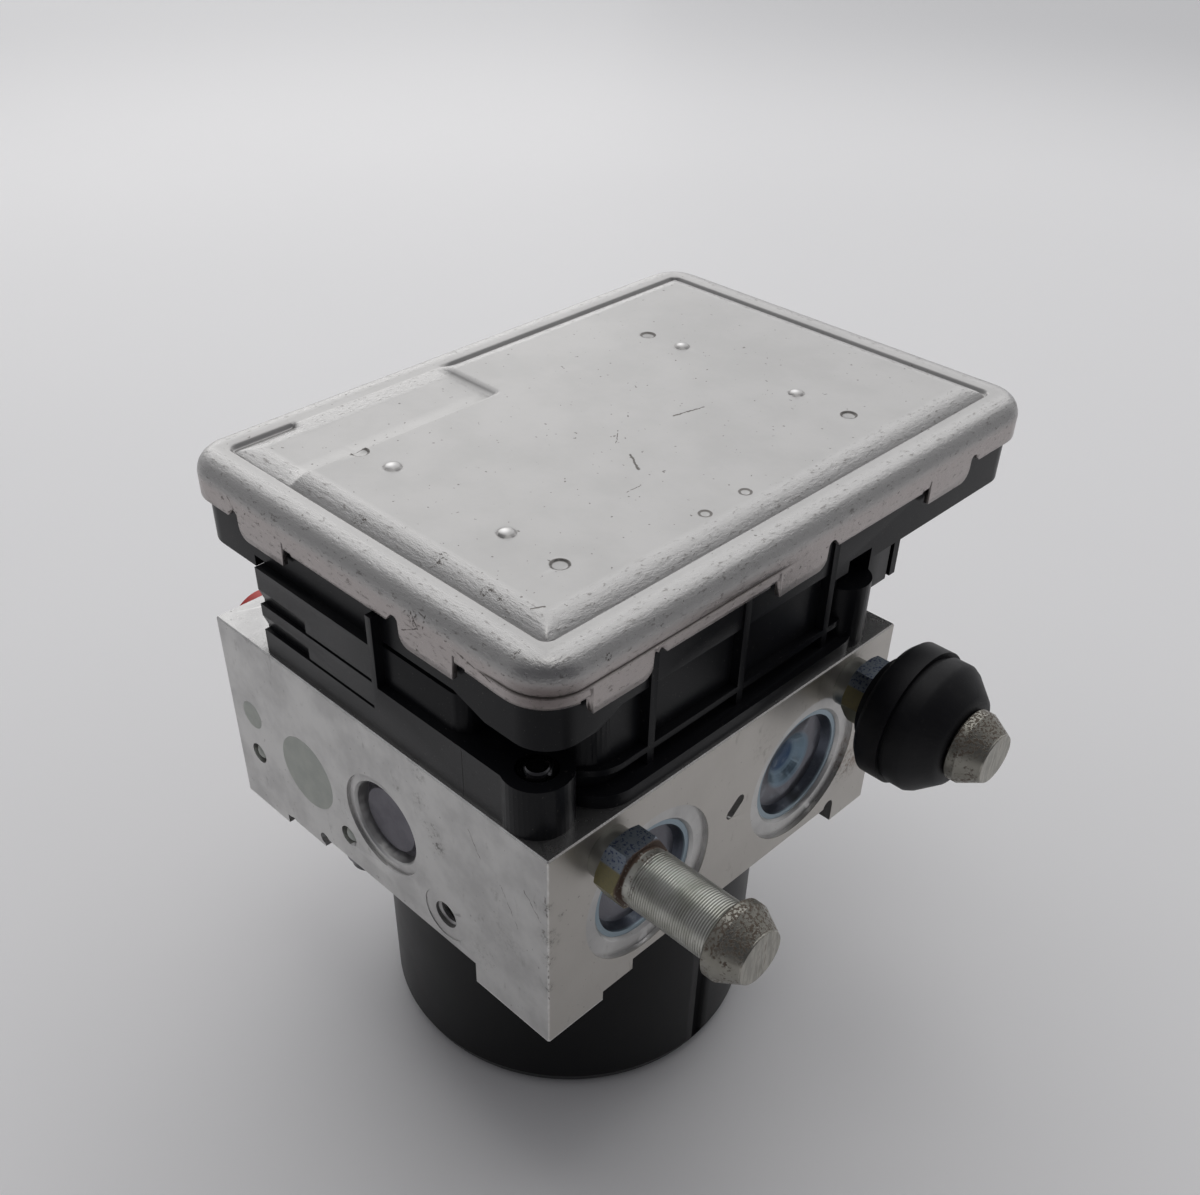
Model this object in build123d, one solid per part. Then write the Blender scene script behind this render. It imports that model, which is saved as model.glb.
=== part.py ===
# Anti-lock brake hydraulic unit: aluminium valve block with its pump motor below and its
# controller above. Millimetres. The origin is the centre of the motor's flat closed end,
# +Z runs up the motor axis to the cover, -Y faces out of the pump cap, +X out of the studs.
import os
from math import cos, radians, sin

from build123d import *

os.makedirs("parts", exist_ok=True)

# ---------------------------------------------------------------- hydraulic block
block_width = 82.0            # along X
block_depth = 82.0            # along Y
block_shift = -2.0            # block centre from the motor axis, along X and along Y
under_z = 48.0                # raised part of the block's underside, where the motor bolts on
block_rise = 35.2             # from that underside to the top
foot_height = 4.4             # corner feet below the raised underside
foot_corner = (17.0, 12.0)    # near right foot, X by Y
foot_front = (13.0, 12.0)     # front left foot
foot_far = (12.0, 10.0)       # far right foot
foot_back = (13.0, 12.0)      # back left foot
step_height = 2.4             # lower step beside the two front feet
step_front_length = 11.5
step_side_length = 6.8
step_depth = 6.0
block_edge = 0.25             # machined edge break
block_x0 = block_shift - block_width / 2
block_x1 = block_shift + block_width / 2
block_y0 = block_shift - block_depth / 2
block_y1 = block_shift + block_depth / 2
block_top = under_z + block_rise
foot_z = under_z - foot_height

# ---------------------------------------------------------------- pump
pump_z = 63.5                 # axis of the pistons, along Y through the motor axis
chamber_radius = 14.0         # eccentric chamber, on the motor axis
chamber_over = 7.0            # chamber above the pump axis
eccentric_offset = 1.0
eccentric_radius = 5.4
eccentric_length = 11.0
ring_radius = 9.0             # outside of the ring that runs on the eccentric
ring_length = 9.0
ring_play = 0.05
contact_play = 0.2            # piston to ring when the eccentric points at it
piston_radius = 3.5
piston_play = 0.05
piston_length = 14.0
piston_head_radius = 5.0
piston_head = 2.0
spring_chamber_radius = 5.6
pump_cap_radius = 7.6
pump_cap_thick = 5.0
pump_cap_recess = 1.8
pump_cap_face = 6.2           # raised middle of the cap, inside its sunk ring
pump_cap_ring = 1.3           # depth of that ring
pump_face_radius = 9.4        # machined ring round the cap
pump_face_depth = 0.5
pump_spring_wire = 0.9
pump_spring_turns = 4

# ---------------------------------------------------------------- accumulators, on the +X face
accumulator_spacing = 38.6
accumulator_bore = 10.7
accumulator_depth = 24.0
accumulator_face_radius = 13.9
accumulator_face_depth = 0.8
cover_thick = 4.6
cover_recess = 1.4
cover_wall = 1.2
cover_rim = 0.9                # flat rim round the dish
cover_dish_radius = 9.0         # outside of the dish's flat ring
cover_step_radius = 5.4         # inside of that ring
cover_boss_radius = 3.2         # sunk middle
cover_sink = 1.6
accumulator_piston_length = 9.0
accumulator_piston_wall = 2.2
accumulator_play = 0.05
accumulator_end_gap = 0.3
accumulator_spring_wire = 1.5
accumulator_spring_turns = 4

# ---------------------------------------------------------------- plugs, ports, mounting hole
press_plug_place = (-20.9, 61.5)       # X, Z on the -Y face
press_plug_radius = 7.05
press_plug_depth = 4.0
small_drillings = ((-36.5, 56.4), (-10.4, 53.8))
flush_plug_place = (-36.6, 65.2)
flush_plug_radius = 2.7
edge_notches = ((-28.2, 44.6), (-18.4, 47.4))          # X, Z in the -Y face's lower edge
notch_radius = 1.3
notch_depth = 2.0
drilling_radius = 2.0
drilling_depth = 4.0
ball_radius = 2.0
side_slot_place = (-1.0, 66.4)         # Y, Z on the +X face
side_slot = (2.2, 4.8, 2.0)            # width, length, depth
side_slot_tilt = 49.0                  # from upright
side_notch = (27.6, 48.0)              # Y, Z in the +X face's lower edge
port_pitch = 18.6
port_z = 72.0
port_radius = 4.5                      # M10 x 1, tapped
port_depth = 14.0
port_seat_radius = 7.0
port_seat_depth = 0.6
master_port_pitch = 22.0
master_port_z = 57.0
master_port_radius = 5.5               # M12 x 1, tapped
transport_plug_flange = 6.5
transport_plug_out = 9.0
transport_plug_stem = 9.0
fixing_place = (15.0, 53.9)            # X, Z of the bracket hole on the -Y face
fixing_radius = 2.5                    # M6, tapped
fixing_depth = 12.0
fixing_face_radius = 4.9
fixing_face_depth = 0.15

# ---------------------------------------------------------------- studs and grommet
stud_spacing = 58.0
stud_shift = 0.0              # middle of the pair from the block's centre, along Y
stud_z = 77.4
stud_thread_radius = 3.0      # M6, to match the hexagon
stud_thread_length = 12.0
stud_collar_radius = 4.3
stud_collar_length = 2.6
stud_hex_flats = 10.4
stud_hex_length = 4.1
stud_shank_radius = 4.6
stud_length = 28.3            # block face to the tip
stud_head_radius = 6.2
stud_head_length = 5.6
stud_head_land = 1.9
stud_tip_radius = 4.2
grommet_play = 0.1
grommet_neck_radius = 7.4
grommet_neck_length = 2.4
grommet_disc_radius = 11.9
grommet_disc_length = 5.0
grommet_groove_radius = 11.0
grommet_groove_length = 0.9
grommet_bulge_radius = 11.4
grommet_bulge_length = 3.6
grommet_nose_radius = 7.0
grommet_round = 1.0

# ---------------------------------------------------------------- motor
can_radius = 35.2
can_wall = 2.2
can_floor = 2.5
can_corner = 3.0
can_seam_width = 2.6
can_seam_depth = 0.9
plate_rim = 1.2               # motor end plate beyond the can
ear_radius = 4.2
ear_gap = 4.2                 # ear centres outside the can
ear_angles = (249.0, 62.0, 150.0)
motor_screw_radius = 2.0
motor_screw_length = 6.5
motor_screw_head_radius = 3.4
motor_screw_head = 2.6
shaft_radius = 4.0
shaft_play = 0.02
bearing_thick = 6.0
rear_bearing_radius = 9.5
front_bearing_radius = 11.0
hub_wall = 2.4
magnet_thick = 6.0
magnet_angle = 130.0
magnet_play = 0.05
rotor_gap = 0.8
core_z = 13.0
core_length = 17.0
slot_count = 12
slot_width = 3.4
slot_depth = 9.0
winding_rise = 3.6
winding_play = 0.1
commutator_radius = 10.0
commutator_length = 7.0
commutator_gap = 0.6          # winding to commutator
commutator_clear = 1.6        # commutator to the brush plate
brush = (9.0, 5.0, 4.6)       # along X, Y, Z
brush_gap = 0.1
brush_plate_thick = 2.0
brush_guide_wall = 1.0
brush_spring_wire = 0.6
brush_spring_radius = 1.9

# ---------------------------------------------------------------- controller
body_left = -29.5             # lower housing, outer walls
body_right = 34.6
body_front = -36.0
body_back = 31.0
body_wall = 2.0
body_corner = 6.0
plinth_height = 9.0
plinth_front = -42.2
panel_height = 16.3             # ribbed panel at the left of the front
panel_left = -28.4
panel_right = 0.4
panel_rib = 1.3
panel_lines = (4.4, 9.4)        # its two grooves, above the block
panel_line = (0.6, 0.45)        # their height and depth
panel_pocket = (12.4, 2.8, 0.8)         # wide left end of each: length, height, depth
front_wall = -40.6              # wall between panel and near boss
front_wall_right = 19.4
front_wall_corner = 2.6
front_wall_height = 16.0
front_wall_back = 0.7           # set back under the tray
base_height = 2.4
base_right = 38.2
base_back = 31.5
base_front = -32.4
base_corner = 7.0
rib_reach = 1.7
rib_wide = 1.4
wall_ribs = (-19.7, 0.4, 21.7)
low_rib_height = 4.9
low_rib_thick = 1.1
boss_radius = 5.4
boss_near_x = 31.0
boss_near_gap = 6.3           # screw axis in front of the near stud's axis
boss_back = (-34.4, 31.4)
boss_left = (-34.4, -18.0)
boss_height = 9.0
far_column = (33.4, 29.4)              # blind column under the rear pad
far_column_radius = 4.6
far_column_height = 11.6
screw_radius = 2.0
screw_flange_radius = 2.9
screw_flange = 2.0
screw_head_radius = 1.95
screw_head_height = 2.6
screw_sink = 2.2
screw_sink_radius = 3.2
screw_thread_length = 7.0
rib_end = 0.4                 # upright ribs end below the cover's rim
panel_rib_end = 1.2
lid_width = 85.0              # cover outline
lid_length = 117.6
lid_right = 37.2
lid_front = -41.7
lid_corner = 7.4
lid_sheet = 1.0
lid_bend = 3.4
lid_rise = 29.6               # rim above the block top
skirt_height = 6.8
groove_inset = 6.0
groove_width = 1.5
groove_deep = 0.9
panel_inset = 8.2
panel_slope = 55.0            # degrees from upright
panel_rise = 0.9
notch_end = 48.6              # low left part of the panel, from the cover's front edge
notch_width = 20.6            # and from its left edge
groove_gap_from = 17.7        # stretch of the left edge that has no groove
tab_width = 11.7
tab_drop = 2.9
tab_slit = 1.1
tab_slit_rise = 1.3
raised_marks = ((-17.6, -21.8), (8.9, -22.2), (-16.7, 44.1), (9.5, 43.9))
sunk_marks = ((-24.9, -22.5), (20.2, -22.5), (-24.3, 43.2), (20.6, 43.7))
mark_radius = 1.35
mark_rise = 0.45
front_tabs = (21.6, 61.1)             # tab centres from the cover's left edge
side_tabs = (14.5, 53.7, 92.9)        # tab centres from the cover's front edge
tray_gap = 0.3
tray_wall = 2.2
tray_floor_thick = 2.0
tray_z = 16.6                 # underside of the tray above the block top
pad_z = 14.5                  # underside of its deep corners
pad_front_right = 18.6        # near corner pad, length along X
pad_side = 14.6               # near corner pad, length along Y
pad_slopes = (6.5, 4.5)       # its sloping ends, along X and along Y
pad_front_left = 15.5
pad_back = 22.6               # the deep rear part starts here, along Y
seal_thick = 1.4
seal_wide = 1.6
board_thick = 1.6
board_gap = 0.6
board_over_floor = 1.5
shroud_front = 33.4           # cross wall of the connector
shroud_cross = 8.6
shroud_cross_drop = 7.2       # below the deep tray
shroud_length = 56.0          # connector, along X
shroud_width = 26.0           # along Y
shroud_drop = 24.0
shroud_wall = 2.2
shroud_right = 12.0
shroud_inset = 4.4            # from the cover's back edge
shroud_floor = 2.0
pin_side = 0.8
pin_rows = 3
pin_pitch = 3.4
pin_row_pitch = 5.4
blade = (2.0, 5.6)
blade_pitch = 7.0
pin_margin = 4.0              # outermost contacts from the socket's end walls
field_gap = 5.5               # signal pins to blades
pin_reach = 13.0
coil_radius = 7.2
coil_height = 12.4
coil_lift = 1.0
coil_pitch = 15.0
coil_rows = (-21.0, 16.0)
coil_middle = 2.5
valve_stem_radius = 3.4
valve_stem_height = 12.8
valve_seat_radius = 4.2
valve_seat_depth = 7.6
valve_lip = 0.8
sensor_radius = 5.0
sensor_height = 16.6
sensor_place = (2.5, -2.5)

# ---------------------------------------------------------------- where things come to lie
press_gap = 0.02              # pressed and turned pieces in their bores
plate_radius = can_radius + plate_rim
ear_reach = can_radius + ear_gap
lid_left = lid_right - lid_width
lid_back = lid_front + lid_length
shroud_back = lid_back - shroud_inset
rim_z = block_top + lid_rise
skirt_z = rim_z - skirt_height
pump_in = ring_radius + eccentric_offset + contact_play
pump_out = pump_in + piston_length
bearing_floor = can_floor + 0.5
hub_top = under_z + bearing_thick - 1.0
core_top = core_z + core_length
magnet_outer = can_radius - can_wall - magnet_play
magnet_inner = magnet_outer - magnet_thick
core_radius = magnet_inner - rotor_gap
slot_outer = core_radius - 1.2
slot_inner = slot_outer - slot_depth
winding_low = core_z - winding_play - winding_rise
winding_high = core_top + winding_play + winding_rise
commutator_z = winding_high + commutator_gap
brush_z = commutator_z + commutator_length / 2
brush_in = commutator_radius + brush_gap
brush_out = brush_in + brush[0]
guide_out = can_radius - can_wall - brush_spring_radius - 4.0
tray_under = block_top + tray_z
pad_under = block_top + pad_z
floor_top = tray_under + tray_floor_thick
board_z = floor_top + board_over_floor
tray_inset = lid_sheet + tray_gap
seal_z = rim_z - lid_sheet - seal_thick
coil_z = block_top + coil_lift
chamber_top = pump_z + chamber_over
ends = (-1, 1)


# ---------------------------------------------------------------- basic shapes
def brick(x0, x1, y0, y1, z0, z1):
    """Box between two corners."""
    middle = Pos((x0 + x1) / 2, (y0 + y1) / 2, (z0 + z1) / 2)
    return middle * Box(x1 - x0, y1 - y0, z1 - z0)


def slab(x0, x1, y0, y1, z0, z1, corner):
    """Box with rounded upright corners."""
    outline = RectangleRounded(x1 - x0, y1 - y0, corner)
    return extrude(Pos((x0 + x1) / 2, (y0 + y1) / 2, z0) * outline, z1 - z0)


def prism(axis, points, start, end):
    """Outline in the plane across X or Y, drawn out along that axis."""
    way = (1, 0, 0) if axis == "x" else (0, 1, 0)
    corners = [(start, a, b) if axis == "x" else (a, start, b) for a, b in points]
    return extrude(make_face(Polyline(*corners, close=True)), end - start, dir=way)


def rod_x(radius, x0, x1, y, z):
    return Pos((x0 + x1) / 2, y, z) * Rot(0, 90, 0) * Cylinder(radius, x1 - x0)


def rod_y(radius, y0, y1, x, z):
    return Pos(x, (y0 + y1) / 2, z) * Rot(90, 0, 0) * Cylinder(radius, y1 - y0)


def rod_z(radius, z0, z1, x=0.0, y=0.0):
    return Pos(x, y, (z0 + z1) / 2) * Cylinder(radius, z1 - z0)


def turned(*profile):
    """Solid of revolution about Z from (radius, height) points."""
    outline = Polyline(*[(r, 0, h) for r, h in profile], close=True)
    return revolve(make_face(outline), Axis.Z, 360)


def along_x(solid, x, y, z, way=1):
    """Stands a solid made along +Z out along X from a point."""
    return Pos(x, y, z) * Rot(0, 90 * way, 0) * solid


def along_y(solid, x, y, z, way=1):
    return Pos(x, y, z) * Rot(-90 * way, 0, 0) * solid


def coil_spring(radius, wire, length, turns):
    """Compression spring along +Z, wire centres from one seat to the other."""
    line = Helix((length - wire) / turns, length - wire, radius)
    section = Plane(origin=line @ 0, z_dir=line % 0) * Circle(wire / 2)
    return Pos(0, 0, wire / 2) * sweep(section, path=line)


def around(count, solid):
    return [Rot(0, 0, 360 * i / count) * solid for i in range(count)]


def save(solid, name):
    export_step(solid, f"parts/{name}.step")


# ---------------------------------------------------------------- places of repeated pieces
face_out = {-1: -block_y0, 1: block_y1}              # motor axis to each pump face
side_name = {-1: "front", 1: "rear"}
accumulator_ys = [block_shift + side * accumulator_spacing / 2 for side in ends]
stud_ys = [block_shift + stud_shift + side * stud_spacing / 2 for side in ends]
port_ys = [block_shift + (i - 1.5) * port_pitch for i in range(4)]
master_ys = [block_shift + side * master_port_pitch / 2 for side in ends]
coil_xs = [coil_middle + (i - 1.5) * coil_pitch for i in range(4)]
valve_places = [(x, y) for y in coil_rows for x in coil_xs]
boss_near = (boss_near_x, stud_ys[0] - boss_near_gap)
screw_places = (boss_near, boss_back, boss_left)
ear_places = [(ear_reach * cos(radians(a)), ear_reach * sin(radians(a))) for a in ear_angles]
cover_bottom = block_x1 - cover_recess - cover_thick
piston_face = block_x1 - accumulator_depth + accumulator_end_gap


# ---------------------------------------------------------------- hydraulic block
def block_outline():
    block = brick(block_x0, block_x1, block_y0, block_y1, foot_z, block_top)
    edges = block.edges().filter_by(Axis.Z) + block.edges().group_by(Axis.Z)[-1]
    block = chamfer(edges, block_edge)
    relief = brick(block_x0 - 1, block_x1 + 1, block_y0 - 1, block_y1 + 1, foot_z - 1, under_z)
    low = foot_z - 2
    feet = [
        brick(
            block_x1 - foot_corner[0], block_x1 + 2, block_y0 - 2, block_y0 + foot_corner[1], low, under_z,
        ),
        brick(block_x0 - 2, block_x0 + foot_front[0], block_y0 - 2, block_y0 + foot_front[1], low, under_z),
        brick(block_x1 - foot_far[0], block_x1 + 2, block_y1 - foot_far[1], block_y1 + 2, low, under_z),
        brick(block_x0 - 2, block_x0 + foot_back[0], block_y1 - foot_back[1], block_y1 + 2, low, under_z),
        brick(
            block_x0 + foot_front[0], block_x0 + foot_front[0] + step_front_length,
            block_y0 - 2, block_y0 + step_depth, under_z - step_height, under_z,
        ),
        brick(
            block_x1 - step_depth, block_x1 + 2,
            block_y0 + foot_corner[1], block_y0 + foot_corner[1] + step_side_length,
            under_z - step_height, under_z,
        ),
    ]
    return block - (relief - feet)


def pump_bore(side):
    out = face_out[side]
    bore = turned(
        (0, chamber_radius / 2),
        (piston_radius + piston_play, chamber_radius / 2),
        (piston_radius + piston_play, pump_out - piston_head - contact_play),
        (spring_chamber_radius, pump_out - piston_head - contact_play),
        (spring_chamber_radius, out - pump_cap_recess - pump_cap_thick),
        (pump_cap_radius, out - pump_cap_recess - pump_cap_thick),
        (pump_cap_radius, out - pump_face_depth - 0.4),
        (pump_cap_radius + 0.4, out - pump_face_depth),
        (pump_face_radius, out - pump_face_depth),
        (pump_face_radius, out + 1),
        (0, out + 1),
    )
    return along_y(bore, 0, 0, pump_z, side)


def accumulator_cut(y):
    bore = turned(
        (0, -accumulator_depth),
        (accumulator_bore, -accumulator_depth),
        (accumulator_bore, -accumulator_face_depth - 0.5),
        (accumulator_bore + 0.5, -accumulator_face_depth),
        (accumulator_face_radius, -accumulator_face_depth),
        (accumulator_face_radius, 1),
        (0, 1),
    )
    return along_x(bore, block_x1, y, pump_z)


def port_cut(y, z, radius):
    bore = turned(
        (0, 1),
        (port_seat_radius, 1),
        (port_seat_radius, -port_seat_depth),
        (radius + 0.6, -port_seat_depth),
        (radius, -port_seat_depth - 0.6),
        (radius, -port_depth),
        (0, -port_depth - radius * 0.6),
    )
    return along_x(bore, block_x0, y, z, -1)


def hydraulic_block():
    cuts = [rod_z(chamber_radius, foot_z - 1, chamber_top)]
    cuts += [pump_bore(side) for side in ends]
    cuts += [accumulator_cut(y) for y in accumulator_ys]
    stud_end = block_x1 - stud_thread_length - 1
    cuts += [rod_x(stud_thread_radius, stud_end, block_x1 + 1, y, stud_z) for y in stud_ys]
    cuts += [port_cut(y, port_z, port_radius) for y in port_ys]
    cuts += [port_cut(y, master_port_z, master_port_radius) for y in master_ys]
    cuts.append(rod_y(press_plug_radius, block_y0 - 1, block_y0 + press_plug_depth, *press_plug_place))
    drilling_end = block_y0 + drilling_depth
    cuts += [rod_y(drilling_radius, block_y0 - 1, drilling_end, x, z) for x, z in small_drillings]
    cuts.append(rod_y(flush_plug_radius, block_y0 - 1, drilling_end, *flush_plug_place))
    cuts += [rod_y(notch_radius, block_y0 - 1, block_y0 + notch_depth, x, z) for x, z in edge_notches]
    cuts.append(rod_y(fixing_radius, block_y0 - 1, block_y0 + fixing_depth, *fixing_place))
    cuts.append(rod_y(fixing_face_radius, block_y0 - 1, block_y0 + fixing_face_depth, *fixing_place))
    slot_y, slot_z = side_slot_place
    slot = Rot(0, 0, -side_slot_tilt) * SlotOverall(side_slot[1], side_slot[0])
    cuts.append(extrude(Pos(block_x1, slot_y, slot_z) * Rot(0, 90, 0) * slot, side_slot[2], both=True))
    cuts.append(rod_x(notch_radius, block_x1 - notch_depth, block_x1 + 1, *side_notch))
    seat = block_top - valve_seat_depth
    cuts += [rod_z(valve_seat_radius, seat, block_top + 1, x, y) for x, y in valve_places]
    cuts.append(rod_z(sensor_radius, seat, block_top + 1, *sensor_place))
    screw_end = block_top - screw_thread_length - 1
    cuts += [rod_z(screw_radius, screw_end, block_top + 1, x, y) for x, y in screw_places]
    screw_end = under_z + motor_screw_length
    cuts += [rod_z(motor_screw_radius, under_z - 1, screw_end, x, y) for x, y in ear_places]
    return block_outline() - cuts


# ---------------------------------------------------------------- pump and accumulators
def pump_cap(side):
    radius = pump_cap_radius - press_gap
    ring = pump_cap_thick - pump_cap_ring
    cap = turned(
        (0, 0), (radius - 1.2, 0), (radius, 1.2), (radius, ring), (pump_cap_face + 0.2, ring),
        (pump_cap_face, pump_cap_thick - 0.3), (pump_cap_face - 0.3, pump_cap_thick), (0, pump_cap_thick),
    )
    return along_y(cap, 0, side * (face_out[side] - pump_cap_recess - pump_cap_thick), pump_z, side)


def pump_piston(side):
    piston = turned(
        (0, pump_in), (piston_radius - 0.6, pump_in), (piston_radius, pump_in + 0.6),
        (piston_radius, pump_out - piston_head), (piston_head_radius, pump_out - piston_head),
        (piston_head_radius, pump_out), (0, pump_out),
    )
    return along_y(piston, 0, 0, pump_z, side)


def pump_spring(side):
    room = face_out[side] - pump_cap_recess - pump_cap_thick - pump_out
    middle = spring_chamber_radius - pump_spring_wire - 0.4
    spring = coil_spring(middle, pump_spring_wire, room - 0.1, pump_spring_turns)
    return along_y(spring, 0, side * (pump_out + 0.05), pump_z, side)


def accumulator_cover(y):
    radius = accumulator_bore - press_gap
    dish = cover_wall + cover_sink
    cover = turned(
        (0, 0), (radius, 0), (radius, cover_thick), (radius - cover_rim, cover_thick),
        (cover_dish_radius, dish), (cover_step_radius, dish),
        (cover_boss_radius, cover_wall), (0, cover_wall),
    )
    return along_x(cover, cover_bottom, y, pump_z)


def accumulator_piston(y):
    radius = accumulator_bore - accumulator_play
    inner = radius - accumulator_piston_wall
    length = accumulator_piston_length
    piston = turned(
        (0, 0), (radius - 0.5, 0), (radius, 0.5), (radius, length), (inner, length),
        (inner, accumulator_piston_wall), (0, accumulator_piston_wall),
    )
    return along_x(piston, piston_face, y, pump_z)


def accumulator_spring(y):
    start = piston_face + accumulator_piston_wall
    middle = accumulator_bore - accumulator_piston_wall - accumulator_spring_wire
    room = cover_bottom - start - 0.1
    spring = coil_spring(middle, accumulator_spring_wire, room, accumulator_spring_turns)
    return along_x(spring, start + 0.05, y, pump_z)


def press_plug():
    x, z = press_plug_place
    return rod_y(press_plug_radius - press_gap, block_y0, block_y0 + press_plug_depth, x, z)


def ball_plugs():
    """Balls in the open drillings, and the disc that closes the third one flush."""
    ball = Sphere(ball_radius - press_gap)
    plugs = [Pos(x, block_y0 + ball_radius, z) * ball for x, z in small_drillings]
    plug_end = block_y0 + drilling_depth - 0.5
    plugs.append(rod_y(flush_plug_radius - press_gap, block_y0, plug_end, *flush_plug_place))
    return Compound(plugs)


def transport_plug():
    plug = turned(
        (0, -transport_plug_stem), (port_radius - 0.5, -transport_plug_stem),
        (port_radius - 0.1, -transport_plug_stem + 1), (port_radius - 0.1, 0),
        (transport_plug_flange, 0), (transport_plug_flange, transport_plug_out - 1),
        (transport_plug_flange - 1, transport_plug_out), (transport_plug_flange - 2, transport_plug_out),
        (transport_plug_flange - 2.5, 1.4), (0, 1.4),
    )
    return along_x(plug, block_x0, port_ys[0], port_z, -1)


# ---------------------------------------------------------------- studs and grommet
def stud(y):
    hex_z = stud_collar_length
    hex_top = hex_z + stud_hex_length
    head_z = stud_length - stud_head_length
    body = turned(
        (0, -stud_thread_length), (stud_thread_radius - 0.6, -stud_thread_length),
        (stud_thread_radius - press_gap, -stud_thread_length + 0.8),
        (stud_thread_radius - press_gap, 0),
        (stud_collar_radius, 0), (stud_collar_radius, hex_z + 0.5), (stud_shank_radius, hex_z + 0.5),
        (stud_shank_radius, head_z), (stud_head_radius - 0.4, head_z), (stud_head_radius, head_z + 0.4),
        (stud_head_radius, head_z + stud_head_land), (stud_tip_radius, stud_length), (0, stud_length),
    )
    outline = RegularPolygon(stud_hex_flats / 2, 6, major_radius=False, rotation=30)
    nut = extrude(Pos(0, 0, hex_z) * outline, stud_hex_length)
    corner = stud_hex_flats / 2 / cos(radians(30))
    bevel = turned(
        (0, hex_z - 1), (corner - 0.7 - 1.4, hex_z - 1), (corner, hex_z + 0.4), (corner, hex_top - 0.4),
        (corner - 0.7 - 1.4, hex_top + 1), (0, hex_top + 1),
    )
    return along_x(body + (nut & bevel), block_x1, y, stud_z)


def grommet(y):
    back = stud_collar_length + stud_hex_length + 0.1
    disc = back + grommet_neck_length
    groove = disc + grommet_disc_length
    bulge = groove + grommet_groove_length
    slope = bulge + grommet_bulge_length
    nose = stud_length - stud_head_length - 0.1
    inner = stud_shank_radius + grommet_play
    edge = grommet_round
    rubber = turned(
        (inner, back), (grommet_neck_radius, back), (grommet_neck_radius, disc),
        (grommet_disc_radius - edge, disc), (grommet_disc_radius, disc + edge),
        (grommet_disc_radius, groove), (grommet_groove_radius, groove),
        (grommet_groove_radius, bulge), (grommet_bulge_radius, bulge),
        (grommet_bulge_radius, slope - edge), (grommet_bulge_radius - edge / 2, slope),
        (grommet_nose_radius + edge, nose - edge / 2), (grommet_nose_radius, nose), (inner, nose),
    )
    return along_x(rubber, block_x1, y, stud_z)


# ---------------------------------------------------------------- motor
def motor_can():
    inner = can_radius - can_wall
    pocket = rear_bearing_radius + press_gap
    can = turned(
        (0, 0), (can_radius - can_corner, 0), (can_radius - can_corner * 0.29, can_corner * 0.29),
        (can_radius, can_corner), (can_radius, foot_z), (inner, foot_z), (inner, can_floor),
        (pocket + 1.6, can_floor), (pocket + 1.6, bearing_floor + bearing_thick),
        (pocket, bearing_floor + bearing_thick), (pocket, bearing_floor), (0, bearing_floor),
    )
    depth = can_radius - can_seam_depth
    half = can_seam_width / 2
    return can - brick(depth, can_radius + 1, -half, half, can_corner, foot_z + 1)


def motor_plate():
    hub = front_bearing_radius + hub_wall
    seat = hub_top - bearing_thick
    plate = rod_z(plate_radius, foot_z, under_z)
    ear = rod_z(ear_radius, foot_z, under_z, ear_reach)
    ear += brick(0, ear_reach, -ear_radius, ear_radius, foot_z, under_z)
    plate += [Rot(0, 0, angle) * ear for angle in ear_angles]
    plate += rod_z(hub, under_z, hub_top)
    plate -= rod_z(front_bearing_radius + press_gap, seat, hub_top + 1)
    plate -= rod_z(shaft_radius + 1.5, foot_z - 1, hub_top)
    return plate - [rod_z(motor_screw_radius + 0.2, foot_z - 1, under_z + 1, x, y) for x, y in ear_places]


def motor_screws():
    head = foot_z - motor_screw_head
    screw = turned(
        (0, head + 1.2), (1.6, head + 1.2), (1.9, head), (motor_screw_head_radius - 0.5, head),
        (motor_screw_head_radius, head + 0.5), (motor_screw_head_radius, foot_z),
        (motor_screw_radius - press_gap, foot_z),
        (motor_screw_radius - press_gap, under_z + motor_screw_length - 0.5),
        (0, under_z + motor_screw_length - 0.5),
    )
    return Compound([Pos(x, y, 0) * screw for x, y in ear_places])


def bearing(radius, z):
    """Sealed ball bearing: two rings with a recessed shield on each side."""
    bore = shaft_radius + shaft_play
    inner = bore + 1.4
    outer = radius - 1.8
    return turned(
        (bore, z), (inner, z), (inner, z + 0.4), (outer, z + 0.4), (outer, z), (radius, z),
        (radius, z + bearing_thick), (outer, z + bearing_thick), (outer, z + bearing_thick - 0.4),
        (inner, z + bearing_thick - 0.4), (inner, z + bearing_thick), (bore, z + bearing_thick),
    )


def magnet():
    half = core_length / 2 + 1.5
    middle = core_z + core_length / 2
    outline = Rot(90, 0, 0) * Rectangle(magnet_thick, 2 * half)
    section = Pos((magnet_inner + magnet_outer) / 2, 0, middle) * outline
    return Rot(0, 0, -magnet_angle / 2) * revolve(section, Axis.Z, magnet_angle)


def motor_shaft():
    low = pump_z - eccentric_length / 2
    shaft = rod_z(shaft_radius, bearing_floor + 0.2, low)
    return shaft + rod_z(eccentric_radius, low, low + eccentric_length, eccentric_offset)


def eccentric_ring():
    half = ring_length / 2
    ring = rod_z(ring_radius, pump_z - half, pump_z + half)
    ring -= rod_z(eccentric_radius + ring_play, pump_z - half - 1, pump_z + half + 1)
    return Pos(eccentric_offset, 0, 0) * ring


def armature_core():
    core = rod_z(core_radius, core_z, core_top) - rod_z(shaft_radius + press_gap, 0, core_top + 1)
    mouth = slot_width * 0.4
    slot = brick(slot_inner, slot_outer, -slot_width / 2, slot_width / 2, core_z - 1, core_top + 1)
    slot += brick(slot_outer - 1, core_radius + 1, -mouth / 2, mouth / 2, core_z - 1, core_top + 1)
    return core - around(slot_count, slot)


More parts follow.
